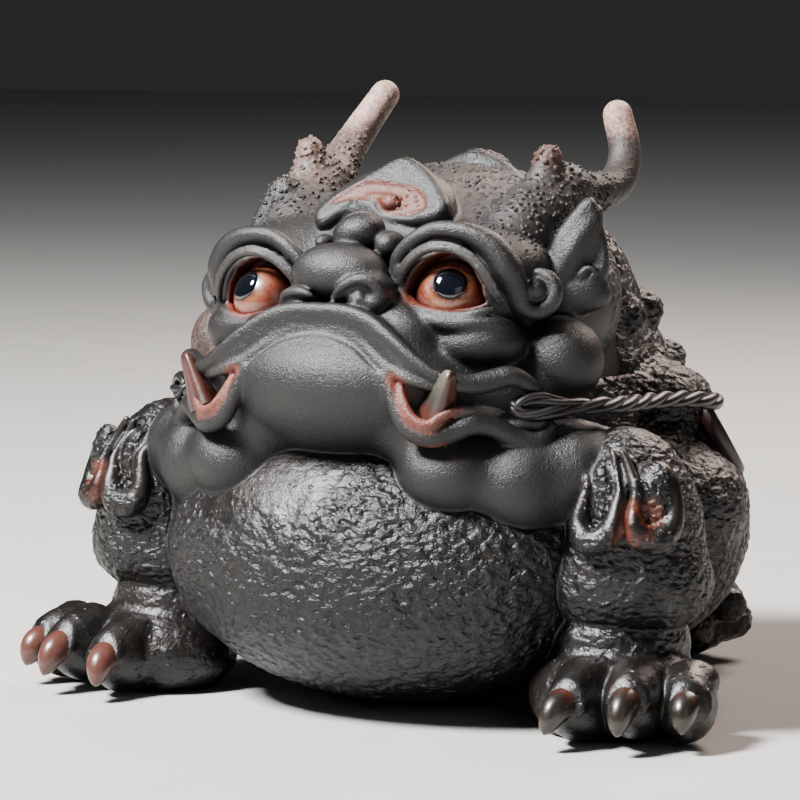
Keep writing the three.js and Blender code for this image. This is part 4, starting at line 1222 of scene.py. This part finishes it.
def rope_tree():
    """Strands laid round a route: each is the route pushed out by a turning amount, made into a tube."""
    tree, given = new_tree("twisted_rope", {
        "Strands": ("NodeSocketInt", STRANDS), "Turns": ("NodeSocketFloat", 20.0),
        "Width": ("NodeSocketFloat", ROPE_WIDTH * MM),
        "Finish": ("NodeSocketMaterial", None),
    })
    curve = add(tree, "GeometryNodeMeshToCurve", links={0: given.outputs["Geometry"]})
    strands = add(tree, "GeometryNodeDuplicateElements", {"domain": "SPLINE"},
                  {"Geometry": curve, "Amount": given.outputs["Strands"]})
    run = add(tree, "GeometryNodeSplineParameter")
    tangent = add(tree, "GeometryNodeInputTangent")
    aside = add(tree, "ShaderNodeVectorMath", SQUARE_TO, {0: tangent, 1: (0.0, 0.0, 1.0)})
    side = add(tree, "ShaderNodeVectorMath", {"operation": "NORMALIZE"}, {0: aside})
    over = add(tree, "ShaderNodeVectorMath", SQUARE_TO, {0: side, 1: tangent})
    step = add(tree, "ShaderNodeMath", OVER, {0: strands.outputs[1], 1: given.outputs["Strands"]})
    turned = add(tree, "ShaderNodeMath", TIMES_PLUS,
                 {0: run.outputs["Factor"], 1: given.outputs["Turns"], 2: step})
    angle = add(tree, "ShaderNodeMath", TIMES, {0: turned, 1: 2 * math.pi})
    cosine = add(tree, "ShaderNodeMath", {"operation": "COSINE"}, {0: angle})
    sine = add(tree, "ShaderNodeMath", {"operation": "SINE"}, {0: angle})
    first = add(tree, "ShaderNodeVectorMath", SCALED, {0: side, "Scale": cosine})
    second = add(tree, "ShaderNodeVectorMath", SCALED, {0: over, "Scale": sine})
    around = add(tree, "ShaderNodeVectorMath", PLUS, {0: first, 1: second})
    reach = add(tree, "ShaderNodeMath", TIMES, {0: given.outputs["Width"], 1: 0.24})
    offset = add(tree, "ShaderNodeVectorMath", SCALED, {0: around, "Scale": reach})
    laid = add(tree, "GeometryNodeSetPosition", links={"Geometry": strands, "Offset": offset})
    thick = add(tree, "ShaderNodeMath", TIMES, {0: given.outputs["Width"], 1: 0.29})
    ring = add(tree, "GeometryNodeCurvePrimitiveCircle", links={"Resolution": 10, "Radius": thick})
    tubes = add(tree, "GeometryNodeCurveToMesh", links={0: laid, 1: ring, "Fill Caps": True})
    real = add(tree, "GeometryNodeRealizeInstances", links={0: tubes})
    finished = add(tree, "GeometryNodeSetMaterial",
                   links={"Geometry": real, "Material": given.outputs["Finish"]})
    add(tree, "NodeGroupOutput", links={0: finished})
    return tree


def line_object(name, points, marks=None):
    """A string of points joined by edges, for a tree to work on."""
    mesh = bpy.data.meshes.new(name)
    placed = [Vector((np.array(p) + SETTING_OUT) * MM) for p in points]
    mesh.from_pydata(placed, [(i, i + 1) for i in range(len(placed) - 1)], [])
    for mark, values in (marks or {}).items():
        layer = mesh.attributes.new(mark, "FLOAT_VECTOR", "POINT")
        layer.data.foreach_set("vector", np.array(values, np.float32).ravel())
    obj = bpy.data.objects.new(name, mesh)
    bpy.context.collection.objects.link(obj)
    return obj


def shaped(obj, tree, values):
    modifier = obj.modifiers.new("shape", "NODES")
    modifier.node_group = tree
    set_by_name(modifier, values)
    settle(obj, modifier)
    for polygon in obj.data.polygons:
        polygon.use_smooth = True
    return obj


def ropes(finish):
    """The rope round the back and a loop of it at each corner of the mouth."""
    tree = rope_tree()
    route = rope_route()
    length = np.linalg.norm(np.diff(route, axis=0), axis=1).sum()
    turns = float(round(length / ROPE_LAY))
    made = [shaped(line_object("rope", route), tree, {
        "Strands": STRANDS, "Turns": turns, "Width": ROPE_WIDTH * MM, "Finish": finish})]
    for side, name in ((1, "loop_left"), (-1, "loop_right")):
        loop = spline(LOOP, LOOP_POINTS) * (side, 1, 1)
        made.append(shaped(line_object(name, loop), tree, {
            "Strands": STRANDS, "Turns": LOOP_TURNS, "Width": LOOP_WIDTH * MM, "Finish": finish}))
    return made


COIN_COUNT = 7
COIN_RADIUS = 8.5
COIN_THICKNESS = 2.4
COIN_RIM = 1.8
COIN_RIM_HEIGHT = 0.6
COIN_HOLE = 4.6
COIN_DROP = 5
COIN_SIDES = 48
HIP_SHARE = 0.245
HIP_LIFT = 0.8
BACK_LIFT = 2.0


def coin_object(finish):
    """A coin lying flat: raised rim, sunk field, square hole with its own raised edge."""
    angles = [2 * math.pi * (j + 0.5) / COIN_SIDES for j in range(COIN_SIDES)]

    def ring(radius, z, square=0.0):
        points = []
        for a in angles:
            reach = max(abs(math.cos(a)), abs(math.sin(a)))
            r = radius * (1 - square) + radius / reach * square
            points.append((r * math.cos(a), r * math.sin(a), z))
        return points

    top = COIN_THICKNESS + COIN_RIM_HEIGHT
    rings = [ring(COIN_RADIUS, 0.2), ring(COIN_RADIUS, top - 0.3), ring(COIN_RADIUS - 0.4, top),
             ring(COIN_RADIUS - COIN_RIM, top), ring(COIN_RADIUS - COIN_RIM - 0.4, COIN_THICKNESS),
             ring(COIN_HOLE / 2 + 1.1, COIN_THICKNESS, 0.9), ring(COIN_HOLE / 2 + 0.8, top - 0.1, 0.95),
             ring(COIN_HOLE / 2, top - 0.1, 1.0), ring(COIN_HOLE / 2, 0.2, 1.0)]
    mesh = bpy.data.meshes.new("coin")
    points = [Vector(p) * MM for row in rings for p in row]
    faces = []
    for i in range(len(rings)):
        for j in range(COIN_SIDES):
            k = (j + 1) % COIN_SIDES
            a, b = i * COIN_SIDES, (i + 1) % len(rings) * COIN_SIDES
            faces.append((a + j, a + k, b + k, b + j))
    mesh.from_pydata(points, [], faces)
    mesh.materials.append(finish)
    mesh.update()
    obj = bpy.data.objects.new("coin", mesh)
    bpy.context.collection.objects.link(obj)
    return obj


def coins_tree():
    """A coin on each point of a string, turned to face along the point's mark "facing"."""
    tree, given = new_tree("coin_string", {
        "Coin": ("NodeSocketObject", None), "Finish": ("NodeSocketMaterial", None)})
    coin = add(tree, "GeometryNodeObjectInfo", links={"Object": given.outputs["Coin"]})
    facing = add(tree, "GeometryNodeInputNamedAttribute", {"data_type": "FLOAT_VECTOR"},
                 {"Name": "facing"})
    turn = add(tree, "FunctionNodeAlignRotationToVector", {"axis": "Z"}, {"Vector": facing})
    placed = add(tree, "GeometryNodeInstanceOnPoints", links={
        "Points": given.outputs["Geometry"], "Instance": coin.outputs["Geometry"], "Rotation": turn})
    real = add(tree, "GeometryNodeRealizeInstances", links={0: placed})
    finished = add(tree, "GeometryNodeSetMaterial",
                   links={"Geometry": real, "Material": given.outputs["Finish"]})
    add(tree, "NodeGroupOutput", links={0: finished})
    return tree


def coins(finish):
    """Coins strung on the rope from hip to hip, lying on the back."""
    route = rope_route()
    places = []
    facings = []
    for i in range(COIN_COUNT):
        share = HIP_SHARE + (1 - 2 * HIP_SHARE) * i / (COIN_COUNT - 1)
        aside = abs(share - 0.5) / (0.5 - HIP_SHARE)
        index = int(round(share * (ROPE_POINTS - 1)))
        along = route[index + 1] - route[index - 1]
        along /= np.linalg.norm(along)
        facing = Vector((-along[1], along[0], 0.2 + 0.35 * aside)).normalized()
        lift = HIP_LIFT * aside + BACK_LIFT * (1 - aside)
        places.append(route[index] + np.array(facing) * (lift - COIN_THICKNESS) - (0, 0, COIN_DROP))
        facings.append(facing)
    coin = coin_object(finish)
    line = line_object("coins", places, {"facing": facings})
    string = shaped(line, coins_tree(), {"Coin": coin, "Finish": finish})
    bpy.data.objects.remove(coin)
    return string


PUPIL_RADIUS = 2.7
PUPIL_DEPTH = 0.75


def pupils():
    """Beads of black glaze, domed over the front of the eyeballs."""
    solids = []
    share = np.linspace(-1, 1, 14)
    radii = PUPIL_RADIUS * np.sqrt(np.maximum(0.01, 1 - share ** 2))
    flat, faces = tube([(0, 0, z) for z in share], radii, 36, up=(0, 1, 0))
    for centre, way in ((BALL, GAZE), (RIGHT_BALL, GAZE * (-1, 1, 1))):
        turn = np.array(Vector((0, 0, 1)).rotation_difference(Vector(way)).to_matrix())
        out = way / np.linalg.norm(way) * (BALL_RADIUS - PUPIL_DEPTH)
        solids.append((flat @ turn.T + centre + out, faces))
    return solids


# Marks on the skin, which say where the clay is tooled, rubbed, stained or pale


def touched(points, *places):
    """The strongest of several marks, each (forms, reach in mm, strength)."""
    mark = np.zeros(len(points))
    for forms, reach, strength in places:
        mark = np.maximum(mark, strength * nearness(points, forms, reach))
    return mark


def side_forms(side, *forms):
    return list(forms) if side > 0 else [form.mirrored() for form in forms]


def head_marks(points):
    x, y, z = points.T
    corners = both(Roll(spline(OPENING[:3], 12), 0.8), Roll(LEDGE[:6], [0.7, 0.8, 0.8, 0.8, 0.6, 0.2]))
    streak = [Roll([(15.5, -13, 46.7), (17.9, -13, 45.6), (20.5, -12.6, 44.9), (22.9, -12, 44.6),
                    (24.1, -11, 43.6)], [0.5, 0.5, 0.4, 0.3, 0.2])]
    far_cheek = [Lump((-30.6, 12, 56.9), (7, 7, 7)), Lump((-24, 3, 57), (6, 6, 5))]
    field = [plate_slab(FIELD, 1.0, 1.4, 0.3)]
    lids = uneven(eye_opening())
    sockets = [Lump(BALL, (6.4, 6.4, 6.4)), Lump(RIGHT_BALL, (6.4, 6.4, 6.4))]
    top = smooth_step(76, 79, z) * smooth_step(15, 19, y) * smooth_step(50, 44, y)
    top = top * smooth_step(17, 12, np.abs(x))
    crest = nearness(points, both(Roll([(0.6, 41, 86.6), (9.6, 40, 81.8), (14, 38, 78.6)], 2.2)), 1.2)
    plate = nearness(points, [plate_slab(PLATE, -1.2, 2.4, 1)], 0.6)
    field_pits = 0.8 * nearness(points, field, 0.3) * smooth_step(2, 5, x)
    pits = np.maximum(top * (1 - crest) * (1 - plate), field_pits)
    return {
        "leather": smooth_step(23, 30, y) * smooth_step(16, 22, np.abs(x)) * 0.8,
        "pits": pits,
        "rub": touched(points, (corners, 1.7, 0.85), (streak, 1.7, 0.7), (far_cheek, 3, 0.36),
                       (field, 1.0, 0.7), (lids, 1.0, 0.62)),
        "stain": touched(points, (sockets, 0.8, 0.9), (both(Roll(spline(OPENING[:4], 8), 0.4)), 1.4, 0.5)),
        "bloom": touched(points, (far_cheek, 3, 0.3), (field, 0.5, 0.15)),
    }


def leg_marks(points, side):
    loops = side_forms(side, Roll(LEFT_LOOP, 1.3), Roll(RIGHT_LOOP, 1.3))
    inner = side_forms(side, Lump((43.9, 0.6, 37), (2.2, 4, 6)), Lump((51.6, 3.4, 37), (2.4, 4, 6)))
    warm = side_forms(side, Roll([(46, -1.6, 31), (48.2, -1, 32), (50.4, 0, 31), (52, 1, 31)], 0.6),
                      Roll([(48.8, -0.6, 33), (49.4, 0, 36)], 0.4), Lump((51.4, 2.6, 34), (1.6, 2, 2)))
    toes = side_forms(side, *[Lump(np.array(centre) + (1.2, -4.4, 1.6), (5, 5, 6))
                              for centre, aim, tip in TOES])
    low = smooth_step(18, 12, points[:, 2])
    smooth = np.maximum(nearness(points, loops, 1.0), 0.22 * nearness(points, toes, 3))
    return {
        "leather": np.clip(0.8 - 0.2 * low - smooth, 0.05, 1),
        "pits": 0.6 * nearness(points, inner, 0.8),
        "rub": touched(points, (warm, 2.4, 0.64)),
        "stain": np.zeros(len(points)),
        "bloom": np.zeros(len(points)),
    }


def body_marks(points):
    none = np.zeros(len(points))
    satin = nearness(points, [Lump((-12, -12, 40), (13, 8, 7))], 8)
    return {"leather": 1 - 0.45 * satin, "pits": none, "rub": none, "stain": none, "bloom": none}


def horn_marks(points):
    x, y, z = points.T
    rear = smooth_step(87, 95, z)
    tips = [Lump((22.6, 23.8, 88.6), (2, 2, 2)), Lump((-22.6, 23.8, 88.4), (2, 2, 3))]
    front = touched(points, (tips, 3, 0.5))
    return {
        "leather": 0.25 * (1 - smooth_step(35, 43, y)),
        "pits": 1 - 0.9 * smooth_step(35, 43, y),
        "rub": np.maximum(front, 0.34 * rear),
        "stain": np.zeros(len(points)),
        "bloom": np.maximum(0.75 * rear, np.where(x < 0, 0.4, 0.2) * smooth_step(78, 86, z)),
    }


# Figure


# Satin smoked clay: the smooth, softly shining dark skin of the face
face_clay = smoked_clay("satin_smoked_clay", "#0d0c0b", "#120f0e", "#292624", 0.45, 0.13,
                        glaze=0.08, shine=0.5)
# Leathery smoked clay: blacker, with brown in it, and small hard glints on the crumpled ridges
hide_clay = smoked_clay("leathery_smoked_clay", "#090807", "#130c09", "#1e1917", 0.36, 0.06,
                        glaze=0.16, shine=0.36)
# Horn clay: dry pitted skin with pale, pinkish rubbed tips
horn_clay = smoked_clay("pitted_horn_clay", "#221f1d", "#2e2522", "#5c4e47", 0.55, 0.08, glaze=0.0)
# Waxed cord clay: the near-black twisted rope with a narrow sheen along each strand
rope_clay = smoked_clay("waxed_cord_clay", "#0e0d0d", "#161211", "#201c1b", 0.42, 0.04, tooled=False)
# Coin clay: dark discs with a reddish rub
coin_clay = smoked_clay("coin_clay", "#1c1716", "#3a1e17", "#2c2320", 0.42, 0.05, tooled=False)

BLOCKS = {
    "toad_head": ((-44, -20, 30), (44, 62, 92), 0.42, face_clay),
    "toad_belly": ((-54, -22, -2.5), (54, 42, 52), 0.36, hide_clay),
    "toad_back": ((-54, 34, -2.5), (54, 90, 88), 0.55, hide_clay),
    "foreleg_left": ((26, -17, -2.5), (67, 30, 53), 0.34, hide_clay),
    "foreleg_right": ((-67, -17, -2.5), (-26, 30, 53), 0.34, hide_clay),
    "horns": ((-31, 6, 66), (31, 56, 102), 0.3, horn_clay),
}
SPLIT = 38
TRIANGLES = 160000
EYEBALL_STEPS = 32


def limits_of(name):
    if name == "toad_belly":
        return lambda x, y, z: y - SPLIT + 0 * x + 0 * z
    if name == "toad_back":
        return lambda x, y, z: SPLIT - y + 0 * x + 0 * z
    return None


def sides(steps, side):
    """The steps on one side of the toad."""
    if side > 0:
        return steps
    return [(way, [form.mirrored() for form in forms], blend) for way, forms, blend in steps]


make_camera()
groups = {"body": body(), "head": head(), "horns": horns(), "left": sides(foreleg(), 1),
          "right": sides(foreleg(), -1)}
owner = {"toad_head": "head", "toad_belly": "body", "toad_back": "body", "foreleg_left": "left",
         "foreleg_right": "right", "horns": "horns"}
marks_of = {"toad_head": head_marks, "toad_belly": body_marks, "toad_back": body_marks, "horns": horn_marks,
            "foreleg_left": lambda points: leg_marks(points, 1),
            "foreleg_right": lambda points: leg_marks(points, -1)}
relief = relief_tree()
pieces = []
for name, (low, high, step, finish) in BLOCKS.items():
    mine = groups[owner[name]]
    others = [steps for group, steps in groups.items() if group != owner[name]]
    points, faces, masks = clay_piece(low, high, step, mine, others, limits_of(name))
    masks.update(marks_of[name](points))
    off_the_shelf = smooth_step(SOLE + 0.2, SOLE + 2.5, points[:, 2])
    masks["leather"] = masks["leather"] * off_the_shelf * smooth_step(0, 0.5, masks["inland"])
    # Painted shade: a dark line is painted along each seam where the pieces meet in a crease.
    masks["hollow"] = np.maximum(masks["hollow"], 0.9 * (1 - smooth_step(0.05, 0.5, masks["inland"])))
    obj = mesh_of(name, points, faces, masks)
    modifier = obj.modifiers.new("tooling", "NODES")
    modifier.node_group = relief
    set_by_name(modifier, {"Crumple": CRUMPLE, "Crumple depth": CRUMPLE_DEPTH, "Pit spacing": PIT_SPACING,
                           "Pit depth": PIT_DEPTH, "Finish": finish})
    settle(obj, modifier)
    thin(obj, TRIANGLES)
    pieces.append(obj)

eyeball_glaze = eye_glaze()
for name, centre, way in (("eyeball_left", BALL, GAZE), ("eyeball_right", RIGHT_BALL, GAZE * (-1, 1, 1))):
    bpy.ops.mesh.primitive_uv_sphere_add(
        segments=2 * EYEBALL_STEPS, ring_count=EYEBALL_STEPS, radius=BALL_RADIUS * MM,
        location=(centre + SETTING_OUT) * MM)
    ball = bpy.context.object
    ball.name = name
    ball.data.transform(ball.matrix_world)
    ball.matrix_world.identity()
    ball.data.materials.append(eyeball_glaze)
    for polygon in ball.data.polygons:
        polygon.use_smooth = True
    out = np.array([v.co[:] for v in ball.data.vertices]) / MM - SETTING_OUT - centre
    cosine = out @ way / np.linalg.norm(out, axis=1) / np.linalg.norm(way)
    layer = ball.data.attributes.new("angle", "FLOAT", "POINT")
    off_gaze = np.arccos(np.clip(cosine, -1, 1)) / (math.pi / 2)
    layer.data.foreach_set("value", off_gaze.astype(np.float32))
    pieces.append(ball)

pieces.append(object_of("pupils", pupils(), black_glaze()))
pieces.append(object_of("tusks", tusks(), nail_glaze(
    "glazed_tusk", "#42190f", "#2c2a24", "#4c463a", "#32120c", "#3f1d15", 0.45)))
pieces.append(object_of("claws", claws(), nail_glaze(
    "glazed_nail", "#4a2217", "#17120e", "#2a231b", "#472318", "#4c2c24", 0.33)))
pieces += ropes(rope_clay)
pieces.append(coins(coin_clay))

for piece in pieces:
    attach(piece, "root")
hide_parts("money_toad")

# Floor and lights


def softbox(name, place, aim, size, power, colour="#ffffff"):
    data = bpy.data.lights.new(name, "AREA")
    data.size = size
    data.energy = power
    data.color = linear(colour)[:3]
    light = bpy.data.objects.new(name, data)
    light.location = place
    light.rotation_euler = (Vector(aim) - Vector(place)).to_track_quat("-Z", "Y").to_euler()
    bpy.context.collection.objects.link(light)


bpy.ops.mesh.primitive_plane_add(size=6, location=(0, 0, 0))
floor = bpy.context.object
floor.name = "floor"
floor.data.materials.append(studio_sweep())
world = bpy.data.worlds.new("studio")
bpy.context.scene.world = world
world.use_nodes = True
world.node_tree.nodes["Background"].inputs[0].default_value = linear("#b9bcc2")
world.node_tree.nodes["Background"].inputs[1].default_value = 0.05
softbox("key", (-0.28, -0.44, 0.66), (0, 0, 0.06), 0.2, 40)
softbox("fill", (0.6, -0.4, 0.3), (0, 0, 0.05), 0.4, 0.3)
softbox("rim", (0.05, 0.5, 0.5), (0, 0, 0.06), 0.3, 6, "#ffe9dc")
